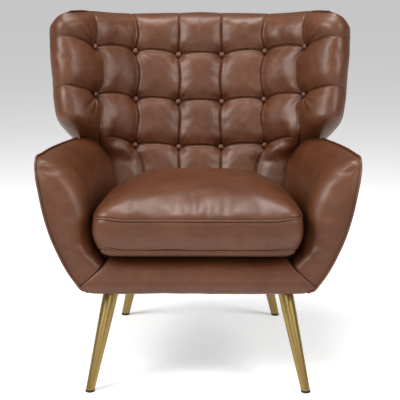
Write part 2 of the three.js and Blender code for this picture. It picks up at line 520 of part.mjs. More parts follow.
add('cushion_welt_bottom', tube(cushionRing(19 - WELT_R - 4.6, CUSHION.weltBottom), WELT_R, 5, 60, true), LEATHER_DARK, lifted);
// zip along the rear of the cushion: a chain in its slot, and a slider with its pull
const zipY = ZIP.y;
add('zip_chain', block(-ZIP.half + 1, ZIP.half - 1, zipY - 5, zipY, ZIP.z - 3.8, ZIP.z + 3.8), STEEL, lifted);
const sliderX = ZIP.half - 8;
const slider = toManifold(block(sliderX - 6, sliderX + 6, zipY + .4, zipY + 4.4, ZIP.z - 5, ZIP.z + 5))
  .add(toManifold(hexa([[sliderX - 2.6, zipY + 4, ZIP.z - 26], [sliderX + 2.6, zipY + 4, ZIP.z - 26], [sliderX + 2.6, zipY + 5.6, ZIP.z - 26], [sliderX - 2.6, zipY + 5.6, ZIP.z - 26]],
    [[sliderX - 2, zipY + 4, ZIP.z + 1], [sliderX + 2, zipY + 4, ZIP.z + 1], [sliderX + 2, zipY + 5.6, ZIP.z + 1], [sliderX - 2, zipY + 5.6, ZIP.z + 1]])));
add('zip_slider', fromManifold(slider), STEEL, lifted);

export default chair;
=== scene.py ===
import bpy
import math
import numpy as np
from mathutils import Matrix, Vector
from mathutils.kdtree import KDTree


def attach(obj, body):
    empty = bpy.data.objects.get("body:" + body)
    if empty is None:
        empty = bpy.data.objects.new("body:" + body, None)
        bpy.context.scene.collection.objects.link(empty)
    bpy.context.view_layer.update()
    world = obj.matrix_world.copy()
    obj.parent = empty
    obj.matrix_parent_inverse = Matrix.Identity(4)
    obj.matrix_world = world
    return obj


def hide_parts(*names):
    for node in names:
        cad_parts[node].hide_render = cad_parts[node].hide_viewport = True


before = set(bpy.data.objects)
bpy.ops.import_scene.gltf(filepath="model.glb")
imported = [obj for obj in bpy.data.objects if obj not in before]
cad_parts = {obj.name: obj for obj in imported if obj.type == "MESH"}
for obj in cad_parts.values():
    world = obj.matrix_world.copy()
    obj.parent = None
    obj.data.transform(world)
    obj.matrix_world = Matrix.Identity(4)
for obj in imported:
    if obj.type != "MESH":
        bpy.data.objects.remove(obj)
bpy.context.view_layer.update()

YS = -26.0                    # the design frame's shift along Y, in mm, as in the CAD
rng = np.random.default_rng(7)

# ------------------------------------------------------------------ camera first
cam_data = bpy.data.cameras.new("camera")
cam = bpy.data.objects.new("camera", cam_data)
bpy.context.scene.collection.objects.link(cam)
YAW = math.radians(0.6)
cam.location = (3.386 * math.sin(YAW), -3.386 * math.cos(YAW), 1.149)
cam.rotation_euler = (math.radians(90 - 12.01), 0, YAW - math.radians(0.035))
cam_data.lens = 110.57
cam_data.sensor_width = 36
cam_data.clip_end = 200
bpy.context.scene.camera = cam


# ------------------------------------------------------------------ numeric helpers (all in mm)
def pchip(tab):
    x = np.array([t[0] for t in tab], float)
    y = np.array([t[1] for t in tab], float)
    h = np.diff(x)
    d = np.diff(y) / h
    m = np.zeros_like(y)
    m[0], m[-1] = d[0], d[-1]
    for i in range(1, len(x) - 1):
        if d[i - 1] * d[i] > 0:
            w1, w2 = 2 * h[i] + h[i - 1], h[i] + 2 * h[i - 1]
            m[i] = (w1 + w2) / (w1 / d[i - 1] + w2 / d[i])

    def f(t):
        t = np.clip(np.asarray(t, float), x[0], x[-1])
        i = np.clip(np.searchsorted(x, t, side="right") - 1, 0, len(x) - 2)
        s = (t - x[i]) / h[i]
        s2, s3 = s * s, s * s * s
        return y[i] * (2 * s3 - 3 * s2 + 1) + h[i] * m[i] * (s3 - 2 * s2 + s) + y[i + 1] * (-2 * s3 + 3 * s2) + h[i] * m[i + 1] * (s3 - s2)
    return f


def smooth(a, b, t):
    s = np.clip((np.asarray(t, float) - a) / (b - a), 0, 1)
    return s * s * (3 - 2 * s)


def lerp(a, b, t):
    return a + (b - a) * t


def bump(x, width):
    return np.exp(-(x / width) ** 2)


def waves(P, scale, seed, n=10):
    """A smooth, repeatable wobble of about -1..1 over points P, with features about scale mm across."""
    r = np.random.default_rng(seed)
    out = np.zeros(P.shape[:-1])
    for _ in range(n):
        k = r.normal(size=3)
        k *= 2 * math.pi / (scale * (0.8 + 0.6 * r.random())) / np.linalg.norm(k)
        out += np.sin(P @ k + r.random() * 6.283)
    return out / math.sqrt(n) / 1.3


def grid_normals(P, ring):
    """Unit normals of a grid of points; ring says that it closes along its second axis."""
    if ring:
        du = np.roll(P, -1, axis=1) - np.roll(P, 1, axis=1)
    else:
        du = np.gradient(P, axis=1)
    dv = np.gradient(P, axis=0)
    n = np.cross(du, dv)
    L = np.linalg.norm(n, axis=-1, keepdims=True)
    return n / np.where(L < 1e-9, 1, L)


def make(name, verts, faces, material=None, smooth_shade=True, attrs=None, shift=True):
    v = np.array(verts, float).reshape(-1, 3).copy()
    if shift:
        v[:, 1] += YS
    v *= 0.001
    me = bpy.data.meshes.new(name)
    me.from_pydata(v.tolist(), [], [list(map(int, f)) for f in faces])
    me.update()
    if smooth_shade:
        me.polygons.foreach_set("use_smooth", [True] * len(me.polygons))
    if attrs:
        for key, val in attrs.items():
            a = me.attributes.new(key, "FLOAT", "POINT")
            full = np.zeros(len(v))
            val = np.asarray(val, float).ravel()
            full[:len(val)] = val
            a.data.foreach_set("value", full)
    ob = bpy.data.objects.new(name, me)
    bpy.context.scene.collection.objects.link(ob)
    if material:
        me.materials.append(material)
    return ob


def face_out(ob):
    """Turns a closed mesh's faces outwards."""
    me = ob.data
    n = len(me.vertices)
    co = np.empty(n * 3)
    me.vertices.foreach_get("co", co)
    co = co.reshape(-1, 3)
    me.calc_loop_triangles()
    t = np.empty(len(me.loop_triangles) * 3, dtype=np.int32)
    me.loop_triangles.foreach_get("vertices", t)
    a, b, c = co[t.reshape(-1, 3)].transpose(1, 0, 2)
    if np.einsum("ij,ij->i", a, np.cross(b, c)).sum() < 0:
        me.flip_normals()
    return ob


def ring_faces(R, C):
    f = []
    for r in range(R - 1):
        a = r * C
        for i in range(C):
            j = (i + 1) % C
            f.append((a + i, a + j, a + C + j, a + C + i))
    return f


def tube_loft(name, rings, material=None, attrs=None, cap="fan"):
    """Closed solid through rings of points, shape (R, C, 3)."""
    R, C, _ = rings.shape
    verts = rings.reshape(-1, 3)
    faces = ring_faces(R, C)
    if cap == "fan":
        c0, c1 = rings[0].mean(axis=0), rings[-1].mean(axis=0)
        verts = np.vstack([verts, c0, c1])
        n = R * C
        for i in range(C):
            j = (i + 1) % C
            faces.append((j, i, n))
            faces.append(((R - 1) * C + i, (R - 1) * C + j, n + 1))
    else:                                    # strips from point i to its partner C / 2 - i
        h = C // 2
        for base, flip in ((0, True), ((R - 1) * C, False)):
            for i in range(h // 2):
                p, q, r_, s = i, i + 1, h - i - 1, h - i
                for quad in ((p, q, r_, s), ((C - q) % C, (C - p) % C, (C - s) % C, (C - r_) % C)):
                    quad = [base + k for k in dict.fromkeys(quad)]
                    if len(quad) >= 3:
                        faces.append(tuple(reversed(quad)) if flip else tuple(quad))
    return face_out(make(name, verts, faces, material, attrs=attrs))


def slab(name, A, B, material=None, attrs=None):
    """Closed solid between two grids of points."""
    R, C, _ = A.shape
    off = R * C
    faces = []
    for r in range(R - 1):
        for c in range(C - 1):
            a, b, d, e = r * C + c, r * C + c + 1, (r + 1) * C + c + 1, (r + 1) * C + c
            faces.append((a, b, d, e))
            faces.append((off + a, off + e, off + d, off + b))
    rim = [(0, c) for c in range(C - 1)] + [(r, C - 1) for r in range(R - 1)] + [(R - 1, c) for c in range(C - 1, 0, -1)] + [(r, 0) for r in range(R - 1, 0, -1)]
    for i, (r0, c0) in enumerate(rim):
        r1, c1 = rim[(i + 1) % len(rim)]
        faces.append((r0 * C + c0, off + r0 * C + c0, off + r1 * C + c1, r1 * C + c1))
    return face_out(make(name, np.vstack([A.reshape(-1, 3), B.reshape(-1, 3)]), faces, material, attrs=attrs))


def sweep(name, path, radius, sides=12, closed=False, material=None, wobble=0.0, seed=1):
    """Round tube along a path of points, mm, with closed ends."""
    P = np.asarray(path, float)
    n = len(P)
    if closed:
        T = np.roll(P, -1, axis=0) - np.roll(P, 1, axis=0)
    else:
        T = np.gradient(P, axis=0)
    T /= np.linalg.norm(T, axis=1, keepdims=True)
    ref = np.array([0, 0, 1.0]) if abs(T[0, 2]) < 0.9 else np.array([0, 1.0, 0])
    N = np.zeros_like(P)
    N[0] = np.cross(T[0], ref)
    N[0] /= np.linalg.norm(N[0])
    for i in range(1, n):
        v = N[i - 1] - T[i] * np.dot(N[i - 1], T[i])
        N[i] = v / np.linalg.norm(v)
    Bn = np.cross(T, N)
    ang = np.arange(sides) / sides * 2 * math.pi
    rad = np.full(n, radius, float)
    if wobble:
        rad += wobble * waves(P, 26, seed)
    if not closed:
        k = np.arange(n)
        d = np.minimum(k, n - 1 - k)
        rad *= np.where(d == 0, 0.55, np.where(d == 1, 0.9, 1.0))
    rings = P[:, None] + rad[:, None, None] * (np.cos(ang)[None, :, None] * N[:, None] + np.sin(ang)[None, :, None] * Bn[:, None])
    if closed:
        R, C = rings.shape[:2]
        # untwist the seam of the closed tube
        v = N[-1] - T[0] * np.dot(N[-1], T[0])
        v /= np.linalg.norm(v)
        turn = math.atan2(np.dot(v, Bn[0]), np.dot(v, N[0]))
        a2 = ang[None, :] - (turn * np.arange(n) / n)[:, None]
        rings = P[:, None] + rad[:, None, None] * (np.cos(a2)[..., None] * N[:, None] + np.sin(a2)[..., None] * Bn[:, None])
        faces = []
        for r in range(R):
            a, b = r * C, ((r + 1) % R) * C
            for i in range(C):
                j = (i + 1) % C
                faces.append((a + i, a + j, b + j, b + i))
        return face_out(make(name, rings, faces, material))
    return tube_loft(name, rings, material)


def resample(path, step, closed=False):
    P = np.asarray(path, float)
    if closed:
        P = np.vstack([P, P[:1]])
    d = np.r_[0, np.cumsum(np.linalg.norm(np.diff(P, axis=0), axis=1))]
    n = max(4, int(d[-1] / step))
    t = np.linspace(0, d[-1], n + 1)
    if closed:
        t = t[:-1]
    return np.stack([np.interp(t, d, P[:, k]) for k in range(3)], axis=1)


def catmull(points, m, closed=False):
    """Smooth curve through points, m steps per span."""
    P = np.asarray(points, float)
    n = len(P)
    out = []
    spans = n if closed else n - 1
    for i in range(spans):
        if closed:
            a, b, c, d = P[(i - 1) % n], P[i], P[(i + 1) % n], P[(i + 2) % n]
        else:
            b, c = P[i], P[i + 1]
            a = P[i - 1] if i else 2 * b - c
            d = P[i + 2] if i + 2 < n else 2 * c - b
        for k in range(m):
            t = k / m
            out.append(0.5 * ((2 * b) + (c - a) * t + (2 * a - 5 * b + 4 * c - d) * t * t + (3 * b - a - 3 * c + d) * t ** 3))
    if not closed:
        out.append(P[-1])
    return np.array(out)


def mirrored(P):
    Q = np.array(P, float).copy()
    Q[..., 0] *= -1
    return Q


def tree_of(P):
    t = KDTree(len(P))
    for i, p in enumerate(P):
        t.insert(p, i)
    t.balance()
    return t


def settle(ob, held, pressure, extra, cap, floor_z=-1.0, size=0.0075, frames=20, near_mm=10.0):
    """Lets the cover billow like leather over its filling: a cloth run on an even mesh of the piece, carried back to the piece. held: points, m, the cloth is sewn to."""
    me0 = ob.data
    proxy = bpy.data.objects.new("proxy", me0.copy())
    bpy.context.scene.collection.objects.link(proxy)
    rm = proxy.modifiers.new("even", "REMESH")
    rm.mode = "VOXEL"
    rm.voxel_size = size
    dg = bpy.context.evaluated_depsgraph_get()
    even = bpy.data.meshes.new_from_object(proxy.evaluated_get(dg))
    proxy.modifiers.remove(rm)
    old = proxy.data
    proxy.data = even
    bpy.data.meshes.remove(old)
    n = len(even.vertices)
    start = np.empty(n * 3)
    even.vertices.foreach_get("co", start)
    start = start.reshape(-1, 3)
    sewn = tree_of(held)
    g = proxy.vertex_groups.new(name="sewn")
    for i, c in enumerate(start):
        d = sewn.find(c)[2]
        if d < near_mm * 0.001 or c[2] < floor_z:
            g.add([i], 1.0, "REPLACE")
        elif d < near_mm * 0.001 + 0.012:
            g.add([i], float((near_mm * 0.001 + 0.012 - d) / 0.012) * 0.35, "REPLACE")
    cl = proxy.modifiers.new("leather", "CLOTH")
    st = cl.settings
    st.quality = 6
    st.mass = 0.35
    st.tension_stiffness = 25
    st.compression_stiffness = 25
    st.shear_stiffness = 12
    st.bending_stiffness = 1.5
    st.vertex_group_mass = "sewn"
    st.pin_stiffness = 1.0
    st.use_pressure = True
    st.uniform_pressure_force = pressure
    st.shrink_min = -extra
    st.effector_weights.gravity = 0
    cl.collision_settings.use_collision = False
    cl.collision_settings.use_self_collision = False
    cl.point_cache.frame_start = 1
    cl.point_cache.frame_end = frames
    scene = bpy.context.scene
    for f in range(1, frames + 1):
        scene.frame_set(f)
    ev = proxy.evaluated_get(bpy.context.evaluated_depsgraph_get())
    end = np.empty(n * 3)
    ev.data.vertices.foreach_get("co", end)
    move = end.reshape(-1, 3) - start
    size_ = np.linalg.norm(move, axis=1)
    ok = np.isfinite(size_)
    move[~ok] = 0
    size_[~ok] = 0
    move *= (cap * np.tanh(size_ / cap) / np.maximum(size_, 1e-9))[:, None]
    scene.frame_set(1)
    near = tree_of(start)
    co = np.empty(len(me0.vertices) * 3)
    me0.vertices.foreach_get("co", co)
    co = co.reshape(-1, 3)
    out = co.copy()
    for i, c in enumerate(co):
        hits = near.find_n(c, 10)
        w = np.array([1 / (h[2] ** 2 + 4e-5) for h in hits])
        out[i] += (move[[h[1] for h in hits]] * w[:, None]).sum(axis=0) / w.sum()
    me0.vertices.foreach_set("co", out.ravel())
    me0.update()
    bpy.data.objects.remove(proxy, do_unlink=True)
    bpy.data.meshes.remove(even)
    return float(np.median(size_)), float(size_.max())


# ------------------------------------------------------------------ materials
def new_mat(name):
    m = bpy.data.materials.new(name)
    m.use_nodes = True
    nt = m.node_tree
    nt.nodes.clear()
    out = nt.nodes.new("ShaderNodeOutputMaterial")
    bsdf = nt.nodes.new("ShaderNodeBsdfPrincipled")
    nt.links.new(bsdf.outputs[0], out.inputs[0])
    return m, nt, bsdf


def node(nt, kind, **inputs):
    n = nt.nodes.new(kind)
    for k, v in inputs.items():
        key = k.replace("_", " ")
        if key in n.inputs:
            n.inputs[key].default_value = v
        else:
            setattr(n, k, v)
    return n


def ramp(nt, src, stops):
    r = nt.nodes.new("ShaderNodeValToRGB")
    e = r.color_ramp.elements
    while len(e) < len(stops):
        e.new(0.5)
    for el, (p, c) in zip(e, stops):
        el.position = p
        el.color = (*c, 1) if len(c) == 3 else c
    nt.links.new(src, r.inputs[0])
    return r.outputs[0]


def leather(name, base, rough=0.42, grain=1.0, crease_shade_tone=0.42):
    m, nt, b = new_mat(name)
    L = nt.links.new
    tc = node(nt, "ShaderNodeTexCoord")
    obj = tc.outputs["Object"]
    # cloudy colour of an aniline-finished hide
    n1 = node(nt, "ShaderNodeTexNoise", Scale=9.0, Detail=5.0, Roughness=0.6)
    L(obj, n1.inputs["Vector"])
    n2 = node(nt, "ShaderNodeTexNoise", Scale=70.0, Detail=4.0, Roughness=0.65)
    L(obj, n2.inputs["Vector"])
    c = np.array(base)
    cloud = ramp(nt, n1.outputs["Fac"], [(0.28, tuple(c * 0.84)), (0.5, tuple(c)), (0.74, tuple(np.minimum(1, c * 1.16 + 0.004)))])
    fine = ramp(nt, n2.outputs["Fac"], [(0.35, (0.90, 0.89, 0.88)), (0.62, (1.0, 1.0, 1.0))])
    mul = node(nt, "ShaderNodeMix", data_type="RGBA", blend_type="MULTIPLY")
    mul.inputs[0].default_value = 1.0
    L(cloud, mul.inputs[6]); L(fine, mul.inputs[7])
    # painted shade: darker down in the creases, seams and button pits, where shade falls; paler where it is pulled over
    # an edge
    at = node(nt, "ShaderNodeAttribute", attribute_name="crease_shade_and_dullness")
    crease_shade_col = ramp(nt, at.outputs["Fac"], [(0.0, (1, 1, 1)), (0.4, (0.90, 0.88, 0.87)), (1.0, (crease_shade_tone, crease_shade_tone * 0.93, crease_shade_tone * 0.9))])
    mul2 = node(nt, "ShaderNodeMix", data_type="RGBA", blend_type="MULTIPLY")
    mul2.inputs[0].default_value = 1.0
    L(mul.outputs[2], mul2.inputs[6]); L(crease_shade_col, mul2.inputs[7])
    geo = node(nt, "ShaderNodeNewGeometry")
    edge = ramp(nt, geo.outputs["Pointiness"], [(0.50, (1, 1, 1)), (0.58, (1.18, 1.16, 1.14))])
    mul3 = node(nt, "ShaderNodeMix", data_type="RGBA", blend_type="MULTIPLY")
    mul3.inputs[0].default_value = 0.8
    L(mul2.outputs[2], mul3.inputs[6]); L(edge, mul3.inputs[7])
    L(mul3.outputs[2], b.inputs["Base Color"])
    # pebble grain: small cells between fine furrows, over soft creasing
    vor = node(nt, "ShaderNodeTexVoronoi", feature="DISTANCE_TO_EDGE", Scale=620.0)
    warp = node(nt, "ShaderNodeTexNoise", Scale=160.0, Detail=2.0)
    L(obj, warp.inputs["Vector"])
    vm = node(nt, "ShaderNodeVectorMath", operation="MULTIPLY_ADD")
    vm.inputs[1].default_value = (0.004, 0.004, 0.004)
    L(warp.outputs["Color"], vm.inputs[0]); L(obj, vm.inputs[2])
    L(vm.outputs[0], vor.inputs["Vector"])
    cell = ramp(nt, vor.outputs["Distance"], [(0.0, (0, 0, 0)), (0.12, (0.8, 0.8, 0.8)), (0.4, (1, 1, 1))])
    soft = node(nt, "ShaderNodeTexNoise", Scale=120.0, Detail=3.0, Roughness=0.5)
    L(obj, soft.inputs["Vector"])
    b1 = node(nt, "ShaderNodeBump", Strength=0.16 * grain, Distance=0.00045)
    L(cell, b1.inputs["Height"])
    b2 = node(nt, "ShaderNodeBump", Strength=0.20 * grain, Distance=0.0012)
    L(soft.outputs["Fac"], b2.inputs["Height"]); L(b1.outputs[0], b2.inputs["Normal"])
    L(b2.outputs[0], b.inputs["Normal"])
    # gloss: worn smoother here and there, duller in the furrows and creases
    n3 = node(nt, "ShaderNodeTexNoise", Scale=16.0, Detail=4.0, Roughness=0.6)
    L(obj, n3.inputs["Vector"])
    mr = node(nt, "ShaderNodeMapRange")
    mr.inputs[1].default_value, mr.inputs[2].default_value = 0.3, 0.7
    mr.inputs[3].default_value, mr.inputs[4].default_value = rough - 0.05, rough + 0.07
    L(n3.outputs["Fac"], mr.inputs[0])
    add = node(nt, "ShaderNodeMath", operation="MULTIPLY_ADD")
    add.inputs[1].default_value = 0.22
    L(at.outputs["Fac"], add.inputs[0]); L(mr.outputs[0], add.inputs[2])
    L(add.outputs[0], b.inputs["Roughness"])
    b.inputs["Specular IOR Level"].default_value = 0.42
    b.inputs["Coat Weight"].default_value = 0.08
    b.inputs["Coat Roughness"].default_value = 0.22
    return m


def brushed(name, base, rough=0.3, stretch=(380, 380, 4), metallic=1.0):
    m, nt, b = new_mat(name)
    L = nt.links.new
    tc = node(nt, "ShaderNodeTexCoord")
    mp = node(nt, "ShaderNodeMapping")
    mp.inputs["Scale"].default_value = stretch
    L(tc.outputs["Object"], mp.inputs["Vector"])
    n = node(nt, "ShaderNodeTexNoise", Scale=1.0, Detail=4.0, Roughness=0.6)
    L(mp.outputs[0], n.inputs["Vector"])
    c = np.array(base)
    col = ramp(nt, n.outputs["Fac"], [(0.3, tuple(c * 0.95)), (0.7, tuple(np.minimum(1, c * 1.04)))])
    stain = node(nt, "ShaderNodeTexNoise", Scale=14.0, Detail=3.0)
    L(tc.outputs["Object"], stain.inputs["Vector"])
    tone = ramp(nt, stain.outputs["Fac"], [(0.35, (0.95, 0.94, 0.92)), (0.65, (1, 1, 1))])
    mul = node(nt, "ShaderNodeMix", data_type="RGBA", blend_type="MULTIPLY")
    mul.inputs[0].default_value = 1.0
    L(col, mul.inputs[6]); L(tone, mul.inputs[7])
    L(mul.outputs[2], b.inputs["Base Color"])
    b.inputs["Metallic"].default_value = metallic
    mr = node(nt, "ShaderNodeMapRange")
    mr.inputs[3].default_value, mr.inputs[4].default_value = rough - 0.06, rough + 0.1
    L(n.outputs["Fac"], mr.inputs[0])
    L(mr.outputs[0], b.inputs["Roughness"])
    bp = node(nt, "ShaderNodeBump", Strength=0.02, Distance=0.0002)
    L(n.outputs["Fac"], bp.inputs["Height"]); L(bp.outputs[0], b.inputs["Normal"])
    return m


def wood(name, base):
    m, nt, b = new_mat(name)
    L = nt.links.new
    tc = node(nt, "ShaderNodeTexCoord")
    mp = node(nt, "ShaderNodeMapping")
    mp.inputs["Scale"].default_value = (60, 8, 60)
    L(tc.outputs["Object"], mp.inputs["Vector"])
    n = node(nt, "ShaderNodeTexNoise", Scale=1.0, Detail=6.0, Roughness=0.6, Distortion=1.2)
    L(mp.outputs[0], n.inputs["Vector"])
    c = np.array(base)
    col = ramp(nt, n.outputs["Fac"], [(0.3, tuple(c * 0.6)), (0.5, tuple(c)), (0.75, tuple(np.minimum(1, c * 1.2)))])
    L(col, b.inputs["Base Color"])
    mr = node(nt, "ShaderNodeMapRange")
    mr.inputs[3].default_value, mr.inputs[4].default_value = 0.55, 0.8
    L(n.outputs["Fac"], mr.inputs[0]); L(mr.outputs[0], b.inputs["Roughness"])
    bp = node(nt, "ShaderNodeBump", Strength=0.25, Distance=0.0006)
    L(n.outputs["Fac"], bp.inputs["Height"]); L(bp.outputs[0], b.inputs["Normal"])
    return m


def cloth(name, base, scale=900.0, rough=0.92, strength=0.5):
    m, nt, b = new_mat(name)
    L = nt.links.new
    tc = node(nt, "ShaderNodeTexCoord")
    w1 = node(nt, "ShaderNodeTexWave", wave_type="BANDS", bands_direction="X", Scale=scale / 6.0, Distortion=0.6, Detail=1.0)
    w2 = node(nt, "ShaderNodeTexWave", wave_type="BANDS", bands_direction="Y", Scale=scale / 6.0, Distortion=0.6, Detail=1.0)
    for w in (w1, w2):
        L(tc.outputs["Object"], w.inputs["Vector"])
    mx = node(nt, "ShaderNodeMath", operation="MULTIPLY")
    L(w1.outputs["Fac"], mx.inputs[0]); L(w2.outputs["Fac"], mx.inputs[1])
    n = node(nt, "ShaderNodeTexNoise", Scale=40.0, Detail=5.0)
    L(tc.outputs["Object"], n.inputs["Vector"])
    c = np.array(base)
    col = ramp(nt, n.outputs["Fac"], [(0.3, tuple(c * 0.75)), (0.7, tuple(np.minimum(1, c * 1.25)))])
    thr = ramp(nt, mx.outputs[0], [(0.0, (0.7, 0.7, 0.7)), (0.6, (1, 1, 1))])
    mul = node(nt, "ShaderNodeMix", data_type="RGBA", blend_type="MULTIPLY")
    mul.inputs[0].default_value = 1.0
    L(col, mul.inputs[6]); L(thr, mul.inputs[7])
    L(mul.outputs[2], b.inputs["Base Color"])
    b.inputs["Roughness"].default_value = rough
    b.inputs["Sheen Weight"].default_value = 0.2
    bp = node(nt, "ShaderNodeBump", Strength=strength, Distance=0.0005)
    L(mx.outputs[0], bp.inputs["Height"]); L(bp.outputs[0], b.inputs["Normal"])
    return m


def moulded(name, base, rough=0.5):
    m, nt, b = new_mat(name)
    L = nt.links.new
    tc = node(nt, "ShaderNodeTexCoord")
    n = node(nt, "ShaderNodeTexNoise", Scale=800.0, Detail=3.0)
    L(tc.outputs["Object"], n.inputs["Vector"])
    c = np.array(base)
    col = ramp(nt, n.outputs["Fac"], [(0.3, tuple(c * 0.8)), (0.7, tuple(np.minimum(1, c * 1.3 + 0.003)))])
    L(col, b.inputs["Base Color"])
    mr = node(nt, "ShaderNodeMapRange")
    mr.inputs[3].default_value, mr.inputs[4].default_value = rough - 0.08, rough + 0.12
    L(n.outputs["Fac"], mr.inputs[0]); L(mr.outputs[0], b.inputs["Roughness"])
    bp = node(nt, "ShaderNodeBump", Strength=0.12, Distance=0.0003)
    L(n.outputs["Fac"], bp.inputs["Height"]); L(bp.outputs[0], b.inputs["Normal"])
    return m


HIDE = (0.090, 0.0315, 0.0118)
M_LEATHER = leather("leather_brown", HIDE)
M_PIPING = leather("leather_piping", tuple(np.array(HIDE) * 0.95), rough=0.4, grain=0.7)
M_BUTTON = leather("leather_button", tuple(np.array(HIDE) * 1.05), rough=0.38, grain=0.7)
M_THREAD = cloth("thread", (0.30, 0.14, 0.075), scale=3000, rough=0.7, strength=0.2)
M_BRASS = brushed("brass_satin", (0.33, 0.24, 0.098), rough=0.34, stretch=(420, 420, 30))
M_STEEL = brushed("spring_steel", (0.5, 0.5, 0.52), rough=0.35, stretch=(200, 200, 200))
M_ZIPMETAL = brushed("zip_metal", (0.5, 0.38, 0.2), rough=0.35, stretch=(200, 200, 200))
M_WOOD = wood("frame_wood", (0.42, 0.27, 0.14))
M_GLIDE = moulded("glide_black", (0.012, 0.012, 0.012))
M_DUST = cloth("dust_cloth", (0.02, 0.02, 0.02), scale=1500)
M_DECK = cloth("deck_cloth", (0.07, 0.032, 0.018), scale=1100)
M_CORE = cloth("wadding", (0.75, 0.72, 0.64), scale=500)
M_TAPE = cloth("zip_tape", (0.10, 0.045, 0.026), scale=1800)

# ------------------------------------------------------------------ arms
arm_x0 = pchip([[253.5, 288], [258.5, 293.5], [265, 300], [285, 313], [308, 330], [340, 348], [369, 362], [404, 377],
                [462, 395], [520, 408], [583, 419.5], [600, 420]])
arm_taper = pchip([[-320, 1], [-220, .995], [-120, .968], [-40, .925], [40, .865], [120, .8], [200, .745], [280, .7], [360, .665]])
arm_front = pchip([[255, -335], [350, -330], [450, -320], [530, -305], [570, -290]])
arm_inner = pchip([[255, 178], [300, 216], [330, 240], [345, 252], [360, 268], [400, 284], [450, 288], [500, 294]])
ARM_TOP = 603.0
ARM_TOP_ROLL = 130.0


def arm_out(y, z):
    return arm_x0(z) * arm_taper(y)


def arm_rear(z):
    return 219 + .2679 * (z - 337.2)


def arm_yfront(z):
    R = 50.0
    dz = np.maximum(0, z - (ARM_TOP - R))
    return arm_front(z) + R - np.sqrt(np.maximum(0, R * R - dz * dz))


def tuck_in(z):                       # the bottom outer corner is rounded under
    return 1 - 0.05 * (1 - smooth(252, 279, z)) ** 1.4


def mitre(z):
    return 240 + (332 - z) * 1.13


def arm_roll(z):                      # depth and squareness of the rolled front edge
    k = smooth(420, 580, z)
    return lerp(58.0, 90.0, k), lerp(2.9, 2.25, k)


def arm_drop(y, z):                   # the arm's top sinks a little behind its front corner
    return 8.0 * smooth(-300, -170, y) * smooth(548, 603, z)


def arm_surface(S, Z):
    """Inner and outer points of the left arm's pad. S: 0..1 across the front roll, 1..2 on to the rear; Z: height, with the top roll sampled in it."""
    yf, yr = arm_yfront(Z), arm_rear(Z)
    R, n = arm_roll(Z)
    phi = np.clip(S, 0, 1) * math.pi / 2
    d = R * (1 - np.cos(phi) ** (2 / n))
    y = np.where(S <= 1, yf + d, lerp(yf + R, yr, np.clip(S - 1, 0, 1)))
    gf = np.where(S >= 1, 1.0, np.sin(phi) ** (2 / n))
    at_front = np.where(Z < 500, arm_x0(Z) - arm_inner(Z), lerp(arm_x0(500.) - arm_inner(500.), 113., smooth(500, 560, Z)))
    T = lerp(at_front, np.minimum(at_front, 62.0), smooth(-250, 200, y))
    q = np.clip((ARM_TOP - Z) / ARM_TOP_ROLL, 0, 1)
    gt = (1 - (1 - q) ** 2.2) ** (1 / 2.2)
    xo = arm_out(y, Z) - 5
    thick = 2 + np.maximum(0, (T - 7)) * gf * gt
    full_front = np.clip(S, 0, 1) * (1 - np.clip(S, 0, 1)) * 4
    y = y - 5.0 * full_front * smooth(300, 380, Z) * gt
    xi = xo - thick
    Z = Z - arm_drop(y, Z)
    xi = np.minimum(np.maximum(xi, mitre(Z) + 0.5), xo - 1.0)
    xi, xo = xi * tuck_in(Z), xo * tuck_in(Z)
    return np.stack([xi, y, Z], axis=-1), np.stack([xo, y, Z], axis=-1), gf, gt, y


zz = list(np.linspace(261.5, 334, 40)) + list(np.linspace(337, 473, 44))
zz += [ARM_TOP - ARM_TOP_ROLL * (1 - math.sin(math.radians(f)) ** (2 / 2.2)) for f in np.linspace(3, 90, 40)]
ss = list(np.linspace(0, 1, 40)) + list(np.linspace(1, 2, 84))[1:]
S_, Z_ = np.meshgrid(ss, zz)
inner, outer, gf, gt, Yg = arm_surface(S_, Z_)
N = grid_normals(inner, False)
if N[30, 70, 0] > 0:
    N = -N                            # towards the seat
# soft unevenness of the padding, and the tuck at the upper front corner
disp = 1.6 * waves(inner, 150, 3) * gf * gt + 0.55 * waves(inner, 52, 4) * gf * gt
disp = np.maximum(disp, -0.6) + 2.4 * smooth(338, 362, Z_) * gf * gt
disp -= 1.2 * np.exp(-np.abs(inner[..., 0] - mitre(Z_)) / 3.5) * (Z_ < 334)
corner = np.array([float(arm_out(-290., 590.)), float(arm_yfront(np.array(575.))), 588.])
rel = inner - corner
rad = np.linalg.norm(rel, axis=-1)
ang = np.arctan2(rel[..., 2] + 0.35 * rel[..., 1], -rel[..., 0])
disp += 3.2 * np.cos(8.5 * (ang + 0.12)) * np.exp(-((rad - 14) / 26) ** 2) * np.exp(-((ang + 0.25) / 0.75) ** 2)
# slight gathers along the piped front edge
disp += 0.5 * np.sin(Z_ / 7.0 + 2 * np.sin(Z_ / 31)) * np.exp(-((S_ - .25) / .25) ** 2)
on_mitre = (Z_ < 333) & (np.abs(inner[..., 0] - mitre(Z_) - 0.5) < 0.05)
inner_d = inner + N * (disp * np.minimum(1, gf * 3) * np.minimum(1, gt * 2.5) * ~on_mitre)[..., None]
# painted shade mask: darkens the leather along the piped front edge, the top edge and the mitre
crease_shade_and_dullness = np.exp(-(S_ / 0.07) ** 2) * 0.4 + np.exp(-(gt / 0.3) ** 2) * 0.3 + np.exp(-np.abs(inner[..., 0] - mitre(Z_)) / 2.0) * (Z_ < 334)
for side, P, Q in (("left", inner_d, outer), ("right", mirrored(inner_d), mirrored(outer))):
    ob = slab("arm_cover_" + side, P, Q, M_LEATHER, attrs={"crease_shade_and_dullness": crease_shade_and_dullness})
    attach(ob, "chair"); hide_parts("arm_pad_" + side)
    fixed = (S_ < .1) | (gt < .35) | (Z_ < 345) | (S_ > 1.93)
    held = np.vstack([P[fixed], Q.reshape(-1, 3)[::2]]) * 0.001
    held[:, 1] += YS * 0.001
    settle(ob, held, pressure=3.0, extra=0.006, cap=0.003, near_mm=8.0)

